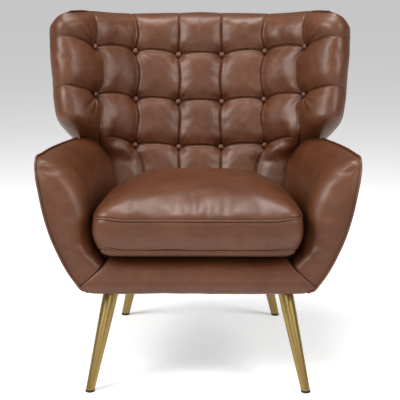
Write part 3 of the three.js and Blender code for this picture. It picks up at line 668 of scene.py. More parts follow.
# outer panels: leather pulled over the arm frame, a little full in the middle
tz = np.linspace(0, 1, 60)
ty = np.linspace(0, 1, 90)
TY, TZ = np.meshgrid(ty, tz)
Zp = 261.0 + (601.5 - 261.0) * (TZ ** 0.9)
Yp = lerp(arm_yfront(Zp) + .4, arm_rear(Zp) + 6, TY)
full = 3.5 * (np.sin(math.pi * TY) ** .6) * (np.sin(math.pi * TZ) ** .6)
edge = np.minimum.reduce([TY * 620, (1 - TY) * 620, TZ * 340, (1 - TZ) * 340])
turn_in = 2.2 * np.exp(-edge / 2.5)
Zd = Zp - arm_drop(Yp, Zp)
Po = np.stack([arm_out(Yp, Zp) + full - turn_in, Yp, Zd], axis=-1)
Po[..., 0] += 0.7 * waves(Po, 130, 8) * np.minimum(1, edge / 40)
Pi = np.stack([arm_out(Yp, Zp) - 4.5, Yp, Zd], axis=-1)
for g_ in (Po, Pi):
    g_[..., 0] *= tuck_in(g_[..., 2])
# painted shade along the panel's edges, where it meets the piping
for side, P, Q in (("left", Po, Pi), ("right", mirrored(Po), mirrored(Pi))):
    ob = slab("arm_outer_cover_" + side, P, Q, M_LEATHER, attrs={"crease_shade_and_dullness": np.exp(-edge / 3) * .5})
    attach(ob, "chair"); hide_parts("arm_outer_panel_" + side)

# piping along the arm's front and top edges
pts = []
for z in [266, 280, 300, 322, 345, 372, 400, 425, 450, 475, 500, 520, 538, 552]:
    pts.append([float(arm_out(arm_yfront(np.array(float(z))), float(z))) - 3.6, float(arm_yfront(np.array(float(z)))) - 1.8, z])
for a in [15, 30, 45, 60, 75]:
    r = math.radians(a)
    z = 553 + 51.5 * math.sin(r)
    yb = float(arm_front(575.)) + 50 - 51.5 * math.cos(r)
    pts.append([float(arm_out(yb, min(600, z))) - 3.6, yb, z])
for y in [-232, -200, -165, -130, -95, -60, -25, 10, 45, 80]:
    pts.append([float(arm_out(float(y), 600.)) - 3.6, y, ARM_TOP + 1.8])
path = resample(catmull(pts, 8), 5)
path[:, 2] -= arm_drop(path[:, 1], path[:, 2])
path[:, 0] *= tuck_in(path[:, 2])
for side, P in (("left", path), ("right", mirrored(path))):
    ob = sweep("arm_piping_" + side, P, 2.9, 12, material=M_PIPING, wobble=0.12)
    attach(ob, "chair"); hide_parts("arm_welt_" + side)

# ------------------------------------------------------------------ front rail
sec = np.array([[-262, 351], [-273, 350.5], [-285, 347], [-299, 340.5], [-312, 331], [-324, 318], [-332.5, 304], [-337.3, 290], [-338, 277],
                [-335, 266], [-328, 258.5], [-318, 255], [-303, 254], [-288, 254], [-275, 254]], float)
sec3 = catmull(np.c_[sec, np.zeros(len(sec))], 5)[:, :2]
cols = np.r_[np.linspace(-1, -.9, 14)[:-1], np.linspace(-.9, .9, 110), np.linspace(.9, 1, 14)[1:]]
Yr, Zr = sec3[:, 0], sec3[:, 1]
endx = np.minimum(mitre(Zr) - 0.4, arm_x0(np.maximum(Zr, 258.)) - 1.5)
low = Zr < 262
endx = np.where(low, np.minimum(endx, arm_x0(262.) - 1.5 - (262 - Zr) * 1.1), endx)
G = np.zeros((len(cols), len(Yr), 3))
for i, c in enumerate(cols):
    G[i, :, 0] = c * endx
    G[i, :, 1] = Yr
    G[i, :, 2] = Zr
Nr = grid_normals(G, False)
if Nr[70, 20, 1] > 0:
    Nr = -Nr
dist_end = (1 - np.abs(cols))[:, None] * endx[None, :]
pull = 1.5 * np.exp(-dist_end / 3.5) + 1.0 * np.exp(-dist_end / 20.0)
dr = 1.0 * waves(G, 170, 12) + 0.35 * waves(G, 40, 13) - pull
dr *= np.where(np.arange(len(Yr)) < 3, 0.3, 1.0)[None, :]
Gd = G + Nr * dr[..., None]
Gd[..., 0] *= tuck_in(Gd[..., 2])
back_side = G.copy()
back_side[..., 1] = np.maximum(-262.0, G[..., 1])
inside = G.copy()
inside[..., 1] = np.where(Zr > 300, -262., -285.)[None, :]
inside[..., 2] = np.clip(G[..., 2], 256, 348)
inside[..., 0] *= 0.995
# painted shade at the rail's mitred ends
ob = slab("front_rail_cover", Gd, inside, M_LEATHER, attrs={"crease_shade_and_dullness": np.exp(-dist_end / 2.0)})
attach(ob, "chair"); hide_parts("front_rail_pad")

# ------------------------------------------------------------------ back: base surface
half_width = pchip([[-66, 224], [6, 263], [150, 300], [182, 312], [207, 345], [224, 362], [241, 377], [263, 394], [286, 402], [312, 406],
                    [344, 410], [400, 413.5], [457, 418], [507, 421], [545, 421.5], [600, 421.5]])
top_corner = pchip([[545, 1], [560, 1], [573, .995], [583, .985], [590, .968], [596, .935], [600, .88]])
top_edge = pchip([[0, 609], [150, 604], [250, 596], [300, 589], [340, 579], [370, 571], [400, 566], [425, 564]])
WING = np.array([[0, 0], [70, 1], [140, 9], [200, 30], [250, 62], [290, 98], [320, 130], [345, 153], [370, 166], [393, 164], [411, 146], [420, 115],
                 [417, 75], [405, 30], [385, -20], [355, -70], [320, -105], [270, -125], [200, -135], [100, -140], [0, -142]], float)
FLAT = np.array([[0, 0], [70, 0], [140, 3], [200, 10], [250, 18], [290, 25], [330, 30], [360, 30], [385, 25], [405, 12], [417, -10], [420, -40],
                 [420, -70], [420, -95], [415, -112], [400, -125], [360, -132], [300, -137], [200, -140], [100, -142], [0, -142]], float)
SB, CB = math.sin(math.radians(15)), math.cos(math.radians(15))


def back_point(u, v, w):
    return np.stack([u, 134 + SB * v - CB * w, 360 + CB * v + SB * w], axis=-1)


def back_normal(nu, nv, nw):
    return np.stack([nu, SB * nv - CB * nw, CB * nv + SB * nw], axis=-1)


def ring_weights(q):
    """Catmull-Rom weights of index q (0..20, right half) on the closed ring of 40 section points."""
    W = np.zeros((len(q), 40))
    for r, x in enumerate(q):
        i = int(math.floor(x))
        t = x - i
        w = [0.5 * (-t + 2 * t * t - t ** 3), 0.5 * (2 - 5 * t * t + 3 * t ** 3), 0.5 * (t + 4 * t * t - 3 * t ** 3), 0.5 * (-t * t + t ** 3)]
        for k in range(4):
            W[r, (i - 1 + k) % 40] += w[k]
    return W


def ring40(half):
    left = half[19:0:-1] * np.array([-1, 1])
    return np.vstack([half, left])


qd = np.linspace(0, 20, 4001)
arc_ring = ring_weights(qd) @ ring40(WING)
arc = np.r_[0, np.cumsum(np.linalg.norm(np.diff(arc_ring, axis=0), axis=1))]     # arc length by index, mm
u_by_q = arc_ring[:, 0]


def s_at_u(u):                       # arc length at which the front face reaches u
    k = np.argmax(u_by_q[:2001] >= u)
    return arc[k]


BUTTONS = [[-300, 480, 86], [-190, 482, 4], [-64, 476, -22], [64, 476, -22], [190, 482, 4], [300, 480, 86],
           [-298, 343, 84], [-188, 340, 2], [-64, 336, -22], [64, 336, -22], [188, 340, 2], [298, 343, 84],
           [-190, 205, 6], [-62, 202, -22], [62, 202, -22], [190, 205, 6]]
S1, S2, S3 = s_at_u(303.), s_at_u(191.), s_at_u(64.)
S_TIP = arc[np.argmax(qd >= 11.5)]

# sampling: closer together near the seams
def spaced(lo, hi, n, centres, width=9.0, gain=3.0):
    x = np.linspace(lo, hi, 4000)
    d = np.ones_like(x)
    for c in centres:
        d += gain * np.exp(-((x - c) / width) ** 2)
    cum = np.r_[0, np.cumsum((d[1:] + d[:-1]) / 2 * np.diff(x))]
    return np.interp(np.linspace(0, cum[-1], n), cum, x)


s_half = spaced(0, arc[np.argmax(qd >= 10)], 200, [S3, S2 - 6, S1 - 16], 17.0, 3.0)
q_front = np.interp(s_half, arc, qd)
q_front[-1] = 10.0
q_all = np.r_[q_front, 20 - q_front[-2::-1]]            # 0 .. 20, symmetric about 10
nq = len(q_all)                                         # right half, both ends included
W_half = ring_weights(q_all)
W_partner = ring_weights(20 - q_all)
s_all = np.interp(q_all, qd, arc)

v_main = spaced(-38, 545, 205, [208, 347, 487], 17.0, 2.6)
roll_ph = np.linspace(0, 88, 36)[1:]
vs, cs = list(v_main), [0.0] * len(v_main)
for ph in roll_ph:
    vs.append(545 + 55 * math.sin(math.radians(ph)))
    cs.append(1 - math.cos(math.radians(ph)))
vs, cs = np.array(vs), np.array(cs)


def base_half(v, c):
    """Right half of the base ring at height v: u, v, w arrays."""
    v0 = min(v, 545.0)
    k = float(smooth(150, 280, v0))
    half = lerp(FLAT, WING, k).copy()
    half[:, 0] *= float(half_width(v0)) / 420
    full = ring40(half)
    P, Q = W_half @ full, W_partner @ full
    mid = (P + Q) / 2
    P = lerp(P, mid, c)
    u, w = P[:, 0] * float(top_corner(v)), P[:, 1]
    vt = top_edge(np.abs(u))
    vv = v * lerp(1, vt / 600, smooth(.3, .95, v / 600))
    return u, vv, w


U = np.zeros((len(vs), nq)); V = np.zeros_like(U); Wd = np.zeros_like(U)
for r in range(len(vs)):
    U[r], V[r], Wd[r] = base_half(vs[r], cs[r])
S = np.broadcast_to(s_all, U.shape)

# ------------------------------------------------------------------ back: biscuit tufting
ARC = np.concatenate([np.zeros((len(vs), 1)), np.cumsum(np.hypot(np.diff(U, axis=1), np.diff(Wd, axis=1)), axis=1)], axis=1)
n_front = int(np.sum(q_all < 9.2))
A_TIP = np.array([np.interp(11.5, q_all, ARC[r]) for r in range(len(vs))])[:, None]
NU, NW = -np.gradient(Wd, axis=1), np.gradient(U, axis=1)
nl = np.hypot(NU, NW) + 1e-9
NU, NW = NU / nl, NW / nl


def foot_of(u, v, w):
    """Where the button's own normal meets the plain surface: position across, arc length, depth below the surface."""
    r = int(np.argmin(np.abs(V[:, 0] - v)))
    d = np.hypot(U[r, :n_front] - u, Wd[r, :n_front] - w)
    k = int(np.argmin(d))
    return float(U[r, k]), float(ARC[r, k]), float(Wd[r, k]), float(d[k])


# the vertical seams as the eye sees them: height, distance from the middle
SEEN = [[[100, 60], [135, 60], [202, 62], [296, 58], [336, 63], [400, 58], [476, 64], [540, 61], [600, 63]],
        [[100, 166], [135, 169], [205, 190], [279, 178], [340, 188], [412, 178], [482, 190], [499, 188], [531, 180], [570, 184], [600, 206]],
        [[100, 286], [205, 291], [243, 285], [296, 283], [336, 294], [343, 298], [350, 294], [387, 281], [437, 281], [472, 296], [480, 300], [494, 300], [537, 298], [569, 309], [587, 330], [600, 336]]]
FEET = [foot_of(*BUTTONS[i]) for i in range(16)]
shifts = [[(-38, 0), (202, 0), (336, 0), (476, 0), (600, 0)],
          [(-38, 2), (205, BUTTONS[15][0] - FEET[15][0]), (270, 4), (340, BUTTONS[10][0] - FEET[10][0]), (410, 5), (482, BUTTONS[4][0] - FEET[4][0]), (540, 4), (600, 1)],
          [(-38, 6), (205, 6), (270, 8), (343, BUTTONS[11][0] - FEET[11][0]), (410, 9), (480, BUTTONS[5][0] - FEET[5][0]), (540, 7), (600, 1)]]
COLS = []
for seen, sh in zip(SEEN, shifts):
    seen, sh = pchip(seen), pchip([list(map(float, t)) for t in sh])
    out = np.zeros((len(vs), 1))
    for r in range(len(vs)):
        u0 = float(seen(V[r, 0]))
        vr = float(np.interp(u0, U[r, :n_front], V[r, :n_front]))
        u0 = float(seen(vr) - sh(vr))
        out[r, 0] = np.interp(u0, U[r, :n_front], ARC[r, :n_front])
    k = np.ones(5) / 5
    out[2:-2, 0] = np.convolve(out[:, 0], k, "valid")
    COLS.append(out)
C3, C2, C1 = COLS
# a running coordinate: 0 middle, 1, 2, 3 at the seams, 4 at the wing's edge
Gc = np.zeros_like(U)
for r in range(len(vs)):
    Gc[r] = np.interp(ARC[r], [0, C3[r, 0], C2[r, 0], C1[r, 0], A_TIP[r, 0], A_TIP[r, 0] + 200], [0, 1, 2, 3, 4, 5])


def arch(g, wing):                   # the seam rises between one button and the next
    out = np.zeros_like(g)
    for a, b, amp in ((-1, 1, 6.0), (1, 2, 8.0), (2, 3, 11.0)):
        t = np.clip((g - a) / (b - a), 0, 1)
        out = out + np.where((g >= a) & (g < b), amp * np.sin(math.pi * t) ** .85, 0)
    t = np.clip(g - 3, 0, 1)
    return out + np.where(g >= 3, wing * np.sin(math.pi * t) ** .8, 0)


row1 = pchip([[0, 475], [1, 476], [2, 482], [3, 480], [4, 486], [5, 486]])
row2 = pchip([[0, 335], [1, 336], [2, 340], [3, 343], [4, 349], [5, 349]])
row3 = pchip([[0, 201], [1, 202], [2, 205], [3, 213], [4, 213], [5, 213]])
R1, R2, R3 = row1(Gc) + arch(Gc, 14.0), row2(Gc) + arch(Gc, 11.0), row3(Gc) + arch(Gc, 0.0)


def crown(x, half, k):               # 1 at a seam, falling to 0 at half away
    return np.clip(1 - np.abs(x) / half, 0, 1) ** k


def across(K):
    out = np.zeros_like(ARC)
    for a, b in ((-C3, C3), (C3, C2), (C2, C1)):
        m = (ARC >= a) & (ARC < b)
        t = np.where(m, (ARC - a) / (b - a), .5)
        out = np.where(m, np.abs(2 * t - 1) ** K, out)
    return np.where(ARC >= C1, crown(ARC - C1, 74, K), out)


def along(K):
    out = np.zeros_like(ARC)
    for a, b in ((R3, R2), (R2, R1)):
        m = (V >= a) & (V < b)
        t = np.where(m, (V - a) / (b - a), .5)
        out = np.where(m, np.abs(2 * t - 1) ** K, out)
    out = np.where(V >= R1, crown(V - R1, 66, K), out)
    return np.where(V < R3, crown(V - R3, 66, K), out)


dC = np.stack([ARC + C3, ARC - C3, ARC - C2, ARC - C1])
dR = np.stack([V - R1, V - R2, V - R3])
which_c = np.argmin(np.abs(dC), axis=0)
near_c = np.take_along_axis(dC, which_c[None], axis=0)[0]
near_r = np.take_along_axis(dR, np.argmin(np.abs(dR), axis=0)[None], axis=0)[0]
tip = smooth(3.35, 4.0, Gc)                          # the pillows run out to nothing at the wing's edge
to_rear = smooth(3.95, 4.3, Gc)
over_top = smooth(548, 592, vs[:, None] * np.ones_like(V))
row3_reach = 1 - smooth(2.55, 2.95, Gc)
on_row3 = np.abs(V - R3) < np.abs(V - R2)
row_on = np.where(on_row3, row3_reach, 1.0)
# between the two upper rows the outer seam is only a soft pleat
soft_c1 = np.where(which_c == 3, 1 - .5 * np.exp(-((V - 410) / 45) ** 4), 1.0)

dep_c = 12.0 * across(2.9) * (1 - .9 * over_top) * np.where(which_c == 3, 1 - .25 * np.exp(-((V - 410) / 50) ** 4), 1.0)
dep_r = 11.5 * along(2.9) * row_on * (1 - tip)
union = (dep_c ** 2.2 + dep_r ** 2.2) ** (1 / 2.2)
pit = np.zeros_like(ARC)
# painted shade in the button pits, carried into the crease mask
pit_shade = np.zeros_like(ARC)
fold = np.zeros_like(ARC)


def polar(b):
    """Distance and direction on the surface from button b's foot."""
    u0, _, w0, _ = FEET[b]
    dv = V - BUTTONS[b][1]
    r = np.sqrt((U - u0) ** 2 + (Wd - w0) ** 2 + dv ** 2)
    ds = np.sqrt(np.maximum(r * r - dv * dv, 0)) * np.sign(U - u0 + 1e-9)
    return r, np.arctan2(dv, ds)


for i in range(16):
    if BUTTONS[i][0] < 0:
        continue
    r, th = polar(i)
    need = FEET[i][3] + 3.5 + 2.0 - 15.0
    amp = max(3.0, need)
    on = ARC < A_TIP
    pit = np.maximum(pit, np.where(on, amp * np.exp(-(r / 17.0) ** 1.8) + 3.0 * np.exp(-(r / 30.0) ** 2), 0))
    pit_shade = np.maximum(pit_shade, np.where(on, np.exp(-(r / 15.0) ** 2.2), 0))
    fold += 0.6 * np.cos(8 * th + i * 1.7) * np.exp(-((r - 19) / 9) ** 2) * (0.5 + .5 * np.sin(th * 2 + i)) * on


def fan(b, centre, spread, n, amp, length, r0=11):
    """n folds that fan out from a button round one direction."""
    r, th = polar(b)
    a = (th - math.radians(centre) + math.pi) % (2 * math.pi) - math.pi
    win = np.exp(-(a / (math.radians(spread) * .62)) ** 4)
    ridge = np.cos(a * n * math.pi / math.radians(spread))
    return amp * ridge * win * smooth(r0, r0 + 10, r) * np.exp(-(np.maximum(0, r - r0) / length) ** 2) * (ARC < A_TIP)


fold_r = fan(5, 38, 36, 3.0, 3.6, 54) + fan(11, -44, 40, 3.2, 3.0, 42) + fan(11, -120, 34, 2.0, 1.4, 30)
fold_r += fan(4, -40, 30, 2.0, 1.1, 30) + fan(10, 130, 30, 2.0, .9, 28) + fan(14, 60, 40, 3.0, 1.0, 28)
fold_l = fan(5, 46, 42, 3.4, 4.0, 58) + fan(11, -52, 44, 3.4, 3.2, 46)
fold_l += fan(4, -140, 30, 2.0, 1.0, 30) + fan(9, 120, 36, 2.4, .9, 28) + fan(14, 110, 40, 3.0, 1.1, 28)

top_cut = np.where(V > 572, 0, 1)
groove_c = 2.3 * bump(near_c, 2.0) * (1 - .35 * over_top) * soft_c1
groove_r = 2.3 * bump(near_r, 2.0) * row_on * (1 - .5 * tip) * top_cut
lip_c = 1.1 * bump(np.abs(near_c) - 5.5, 3.0) * np.where(near_c > 0, 1.0, 0.45) * soft_c1 * (1 - over_top)
lip_r = 1.1 * bump(np.abs(near_r) - 5.5, 3.0) * np.where(near_r < 0, 1.0, 0.45) * row_on * (1 - tip) * top_cut
keep_c = np.where(ARC > C1 + 40, 0, 1)
depth = union + pit + (groove_c - lip_c) * keep_c + (groove_r - lip_r)
fade = 1 - to_rear
# painted shade along the seams and in the button pits
back_crease_shade = np.clip((.85 * bump(near_c, 2.1) * keep_c * soft_c1 + .85 * bump(near_r, 2.1) * row_on * top_cut * (1 - .4 * tip)) * fade + pit_shade * .85, 0, 1)
low = 1 - smooth(120, 175, V)                        # plain below the cushion's top
depth = depth * (1 - .6 * low * (1 - crown(near_c, 30, 1)))

base_r = back_point(U, V, Wd)
mirror_base = mirrored(base_r)
# full ring: right half 0..nq-1, then the left half back to the front centre
ringP = np.concatenate([base_r, mirror_base[:, -2:0:-1]], axis=1)
Nb = grid_normals(ringP, True)
mid_row = 60
if Nb[mid_row, 0, 1] > 0:
    Nb = -Nb
wob_r = 0.9 * waves(base_r, 90, 21) + 0.35 * waves(base_r, 30, 22)
wob_l = 0.9 * waves(mirror_base, 90, 23) + 0.35 * waves(mirror_base, 30, 24)
edge_calm = 1 - .7 * np.maximum(tip, over_top)
on_roll = smooth(556, 585, vs[:, None] * np.ones_like(V))
tip_full = 4.0 * smooth(3.3, 4.0, Gc) * (1 - smooth(4.0, 4.6, Gc)) * (1 - on_roll)
puff = 2.0 * (1 - on_roll * smooth(3.2, 3.8, Gc) * (1 - smooth(4.6, 4.9, Gc)))
d_right = (puff + tip_full - depth + (fold + fold_r) * edge_calm) * fade + wob_r * (0.4 + .6 * fade) * edge_calm
d_left = (puff + tip_full - depth + (fold + fold_l) * edge_calm) * fade + wob_l * (0.4 + .6 * fade) * edge_calm
dfull = np.concatenate([d_right, d_left[:, -2:0:-1]], axis=1)
back_crease_shade_full = np.concatenate([back_crease_shade, back_crease_shade[:, -2:0:-1]], axis=1)
rings = ringP + Nb * dfull[..., None]
BACK_BASE, BACK_N, BACK_D = ringP, Nb, dfull
ob = tube_loft("back_cover", rings, M_LEATHER, attrs={"crease_shade_and_dullness": back_crease_shade_full}, cap="strip")
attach(ob, "chair"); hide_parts("back_pad")
free_r = fade * (vs[:, None] > 60) * (back_crease_shade < .3) * (1 - on_roll)
free = np.concatenate([free_r, free_r[:, -2:0:-1]], axis=1)
held = rings[free < .5].reshape(-1, 3)[::2] * 0.001
held[:, 1] += YS * 0.001
settle(ob, held, pressure=4.0, extra=0.004, cap=0.0045, near_mm=7.0)

# ------------------------------------------------------------------ buttons
def lathe(profile, sides=28):
    ang = np.arange(sides) / sides * 2 * math.pi
    return np.array([[[r * math.cos(a), r * math.sin(a), z] for a in ang] for r, z in profile])


prof = [(6.0, -3.4), (7.7, -2.4), (8.4, -0.8), (8.5, 0.7), (8.2, 2.2), (7.3, 3.6), (5.8, 4.8), (4.0, 5.6), (2.0, 6.0), (0.5, 6.15)]
for i, (u, v, w) in enumerate(BUTTONS):
    row = 1 if i < 6 else 2 if i < 12 else 3
    colno = i + 1 if i < 6 else i - 5 if i < 12 else i - 10
    tilt = math.copysign(.72, u) if abs(u) > 250 else math.copysign(.2, u) if abs(u) > 150 and v > 300 else 0
    L_ = lathe(prof)
    a = np.arctan2(L_[..., 1], L_[..., 0])
    rr = np.hypot(L_[..., 0], L_[..., 1])
    L_[..., 2] += 0.18 * np.sin(a * 5 + i) * smooth(5, 9, rr)
    x, y, d = L_[..., 0], L_[..., 1], L_[..., 2]
    P = back_point(u + x * math.cos(tilt) - d * math.sin(tilt), v + y, w + d * math.cos(tilt) + x * math.sin(tilt))
    ob = tube_loft(f"button_cover_{row}_{colno}", P, M_BUTTON)
    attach(ob, "chair"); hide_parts(f"button_{row}_{colno}")

# ------------------------------------------------------------------ outer back panel and its piping
pv = np.r_[np.linspace(-64, 545, 80)]
pq = np.linspace(13.9, 26.1, 150)
Wp = ring_weights(pq)
outP, inP = [], []
for v in pv:
    k = float(smooth(150, 280, v))
    half = lerp(FLAT, WING, k).copy()
    half[:, 0] *= float(half_width(v)) / 420
    full_ring = ring40(half)
    P = Wp @ full_ring
    T = np.gradient(P, axis=0)
    nrm = np.stack([T[:, 1], -T[:, 0]], axis=1)
    nrm /= np.linalg.norm(nrm, axis=1, keepdims=True)
    if nrm[75, 1] > 0:
        nrm = -nrm
    vt = v * lerp(1, (top_edge(np.abs(P[:, 0])) - 2) / 600, smooth(.3, .95, v / 600))
    t = (pq - 13.9) / 12.2
    tv = (v + 64) / 609
    e = np.minimum.reduce([t * 700, (1 - t) * 700, np.full_like(t, tv * 600), np.full_like(t, (1 - tv) * 600)])
    off = 2.2 * np.minimum(1, e / 60) - 1.6 * np.exp(-e / 2.5)
    outP.append(back_point(P[:, 0] + nrm[:, 0] * off, vt, P[:, 1] + nrm[:, 1] * off))
    inP.append(back_point(P[:, 0] - nrm[:, 0] * 4.5, vt, P[:, 1] - nrm[:, 1] * 4.5))
outP, inP = np.array(outP), np.array(inP)
ob = slab("back_outer_cover", outP, inP, M_LEATHER)
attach(ob, "chair"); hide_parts("back_outer_panel")
border = np.vstack([outP[:, 0], outP[-1, 1:], outP[::-1, -1][1:]])
cen = border - 0.0
path = resample(border, 5)
ob = sweep("back_piping", path, 2.8, 10, material=M_PIPING, wobble=0.1)
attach(ob, "chair")

# ------------------------------------------------------------------ loose cushion
cush_half = np.array([[-360, 0], [-360, 110], [-360, 205], [-356, 236], [-344, 254.5], [-328, 262], [-280, 266.5],
                      [-200, 265], [-120, 260.5], [-50, 250], [20, 230], [75, 208], [107, 186], [124, 150], [129, 80], [129, 0]], float)
outline0 = np.array([[x, y, 0] for y, x in cush_half] + [[-x, y, 0] for y, x in cush_half[-2:0:-1]])
dense = resample(catmull(outline0, 12, closed=True), 5.5, closed=True)
To = np.roll(dense, -1, axis=0) - np.roll(dense, 1, axis=0)
To /= np.linalg.norm(To, axis=1, keepdims=True)
Nout = np.stack([To[:, 1], -To[:, 0], np.zeros(len(To))], axis=1)      # outwards for an anticlockwise outline
if np.dot(Nout[0], [0, -1, 0]) < 0:
    Nout = -Nout
MID = np.array([0, -112.0, 0])


def cush_ring(offset, z):
    P = dense - Nout * np.asarray(offset)[..., None] if np.ndim(offset) else dense - Nout * offset
    P = P.copy()
    P[:, 2] = z
    return P


WB, WT, CROWN, BOT = 383.0, 464.0, 518.0, 359.0


def lift(x, y):                       # the seams ride up a little at the two front corners
    return np.exp(-((np.abs(x) - 240) / 30) ** 2) * np.exp(-((y + 348) / 34) ** 2)

side_off = pchip([[WB, 19.0], [WB + 5, 15.0], [WB + 20, 8.0], [424, 4.5], [446, 5.0], [WT - 5, 8.0], [WT, 10.5]])
rings, kinds = [], []
for r in [0.03, .12, .24, .36, .48, .6, .7, .78, .85, .9, .94, .97, .99]:
    base = cush_ring(20.0, 0)
    P = MID + (base - MID) * r
    P[:, 2] = WB - (WB - BOT) * (1 - r ** 14) ** .5
    rings.append(P); kinds.append(0)
for z in list(WB + np.array([-1.2, 0, 1.2])) + list(np.linspace(WB + 4, WT - 4, 26)) + list(WT + np.array([-1.2, 0, 1.2])):
    P = cush_ring(float(side_off(z)), z)
    rings.append(P); kinds.append(1)
for r in [.992, .98, .965, .945, .92, .89, .855, .82, .78, .74, .7, .66, .62, .57, .52, .46, .4, .34, .28, .22, .16, .1, .05, .02]:
    base = cush_ring(11.0, 0)
    P = MID + (base - MID) * r
    P[:, 2] = WT + 2 + (CROWN - WT - 2) * (1 - r ** 3.4) ** .56 + 4 * smooth(-200, 60, P[:, 1]) * (1 - r ** 4)
    rings.append(P); kinds.append(2)
CR = np.array(rings)
z_plain = CR[..., 2].copy()
CR[..., 0] *= 1 + 0.036 * (1 - smooth(-350, -130, CR[..., 1]))
CR[..., 2] -= 9.0 * (1 - smooth(-345, -190, CR[..., 1]))
t_up = np.clip((CR[..., 2] - BOT) / (WT - BOT), 0, 1)
CR[..., 2] += lift(CR[..., 0], CR[..., 1]) * np.interp(t_up, [0, .25, 1], [0, 9, 5]) * np.where(CR[..., 2] > WT + 25, 0, 1)
kinds = np.array(kinds)
Nc = grid_normals(CR, True)
if Nc[25, 0, 1] > 0:
    Nc = -Nc
x, y, z = CR[..., 0], CR[..., 1], CR[..., 2]
top = (kinds == 2)[:, None] * np.ones_like(x)
side = (kinds == 1)[:, None] * np.ones_like(x)
dc = top * (1.2 * waves(CR, 120, 31) + .5 * waves(CR, 45, 32)) + side * (1.0 * waves(CR, 90, 33))
# small gathers that run back from the front seam
front_top = np.exp(-((y + 333) / 24) ** 2) * top * np.exp(-(x / 215) ** 6)
gather = np.sin(x / 8.5 + 2.2 * np.sin(x / 41.0)) * (0.6 + .4 * np.sin(x / 63.0 + 1))
dc += front_top * gather * 1.0
z_flat = z_plain
hseam = np.minimum(np.abs(z_flat - WT), np.abs(z_flat - WB))
dc -= side * 1.0 * np.exp(-hseam / 2.0)
CD = CR + Nc * dc[..., None]
# painted shade along the welt seams and on the top just inside the top welt
cushion_crease_shade = np.exp(-hseam / 2.6) * np.maximum(side, 0) + top * np.exp(-np.maximum(0, z_flat - WT - 1) / 2.5) * .7
ob = tube_loft("cushion_leather", CD, M_LEATHER, attrs={"crease_shade_and_dullness": cushion_crease_shade})
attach(ob, "cushion"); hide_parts("cushion_cover")
CUSHION = ob


seam_rows = [k for k in range(len(kinds)) if kinds[k] == 1 and min(abs(z_plain[k, 0] - WT), abs(z_plain[k, 0] - WB)) < 2]
round_zip = (kinds == 1)[:, None] & (CR[..., 1] > 108) & (np.abs(CR[..., 0]) < 165)     # the zip's panel stays where the zip is
sewn_pts = np.vstack([CD[seam_rows].reshape(-1, 3), CD[round_zip]]) * 0.001
sewn_pts[:, 1] += YS * 0.001
moved = settle(CUSHION, sewn_pts, pressure=3.0, extra=0.006, cap=0.007, floor_z=(WB - 2) * 0.001)
print("cushion cloth: typical and largest move, mm", [round(m * 1000, 2) for m in moved])
for nm, off, zz_, node_ in (("cushion_piping_top", 9.0, WT, "cushion_welt_top"), ("cushion_piping_bottom", 17.5, WB, "cushion_welt_bottom")):
    path = cush_ring(off, zz_)
    path[:, 2] -= 9.0 * (1 - smooth(-345, -190, path[:, 1]))
    path[:, 0] *= 1 + 0.036 * (1 - smooth(-350, -130, path[:, 1]))
    path[:, 2] += lift(path[:, 0], path[:, 1]) * (5 if zz_ > 420 else 9)
    ob = sweep(nm, path, 2.6, 10, closed=True, material=M_PIPING, wobble=0.1)
    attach(ob, "cushion"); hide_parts(node_)


def stitches(name, path, normals, pitch=6.2, length=4.2, width=0.8, body="cushion"):
    """A row of sewn stitches: short rounded threads lying on the surface."""
    P = np.asarray(path, float)
    closed = np.vstack([P, P[:1]])
    d = np.r_[0, np.cumsum(np.linalg.norm(np.diff(closed, axis=0), axis=1))]
    n = int(d[-1] / pitch)
    verts, faces = [], []
    NN = np.vstack([normals, normals[:1]])
    for k in range(n):
        a = k * pitch
        ends = []
        for t in (a, a + length * .5, a + length):
            p = np.array([np.interp(t, d, closed[:, c]) for c in range(3)])
            ends.append(p)
        nn = np.array([np.interp(a + length / 2, d, NN[:, c]) for c in range(3)])
        nn /= np.linalg.norm(nn)
        tdir = ends[2] - ends[0]
        tdir /= np.linalg.norm(tdir)
        bdir = np.cross(nn, tdir)
        for j, (f, rr) in enumerate(((0, .25), (.2, .9), (.5, 1.0), (.8, .9), (1, .25))):
            c = ends[0] + (ends[2] - ends[0]) * f + nn * (width * (.55 * math.sin(math.pi * f) - .1))
            for s in range(6):
                an = s / 6 * 2 * math.pi
                verts.append(c + (bdir * math.cos(an) + nn * math.sin(an)) * width * .5 * rr)
        b = k * 30
        for j in range(4):
            for s in range(6):
                s2 = (s + 1) % 6
                faces.append((b + j * 6 + s, b + j * 6 + s2, b + j * 6 + 6 + s2, b + j * 6 + 6 + s))
        faces.append(tuple(b + s for s in range(5, -1, -1)))
        faces.append(tuple(b + 24 + s for s in range(6)))
    ob = make(name, np.array(verts), faces, M_THREAD)
    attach(ob, body)
    return ob


for nm, zs in (("stitching_top", WT - 6.5), ("stitching_bottom", WB + 6.5)):
    ridx = np.where(kinds == 1)[0]
    zr = z_plain[ridx, 0]
    k = ridx[np.argmin(np.abs(zr - zs))]
    stitches(nm, CD[k] + Nc[k] * 0.25, Nc[k])

# ------------------------------------------------------------------ deck under the cushion
dx = np.linspace(-1, 1, 70)
dy = np.linspace(0, 1, 60)
DX, DY = np.meshgrid(dx, dy)
Yd = lerp(-262.0, 132.0, DY)
hw = np.interp(Yd, [-262, -200, -120, -40, 40, 124, 140], [248, 249, 244, 234, 220, 203, 198])
Xd = DX * hw
Zd = 350.0 + 2.0 * (1 - DX ** 4) * (1 - (2 * DY - 1) ** 4) - 1.2 * bump(DX * 250 - 125, 5) - 1.2 * bump(DX * 250 + 125, 5)
A_ = np.stack([Xd, Yd, Zd], axis=-1)
A_[..., 2] += 0.4 * waves(A_, 60, 41)
B_ = np.stack([Xd, Yd, np.full_like(Xd, 334.0)], axis=-1)
ob = slab("seat_deck", A_, B_, M_DECK)
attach(ob, "chair"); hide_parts("seat_deck_pad")

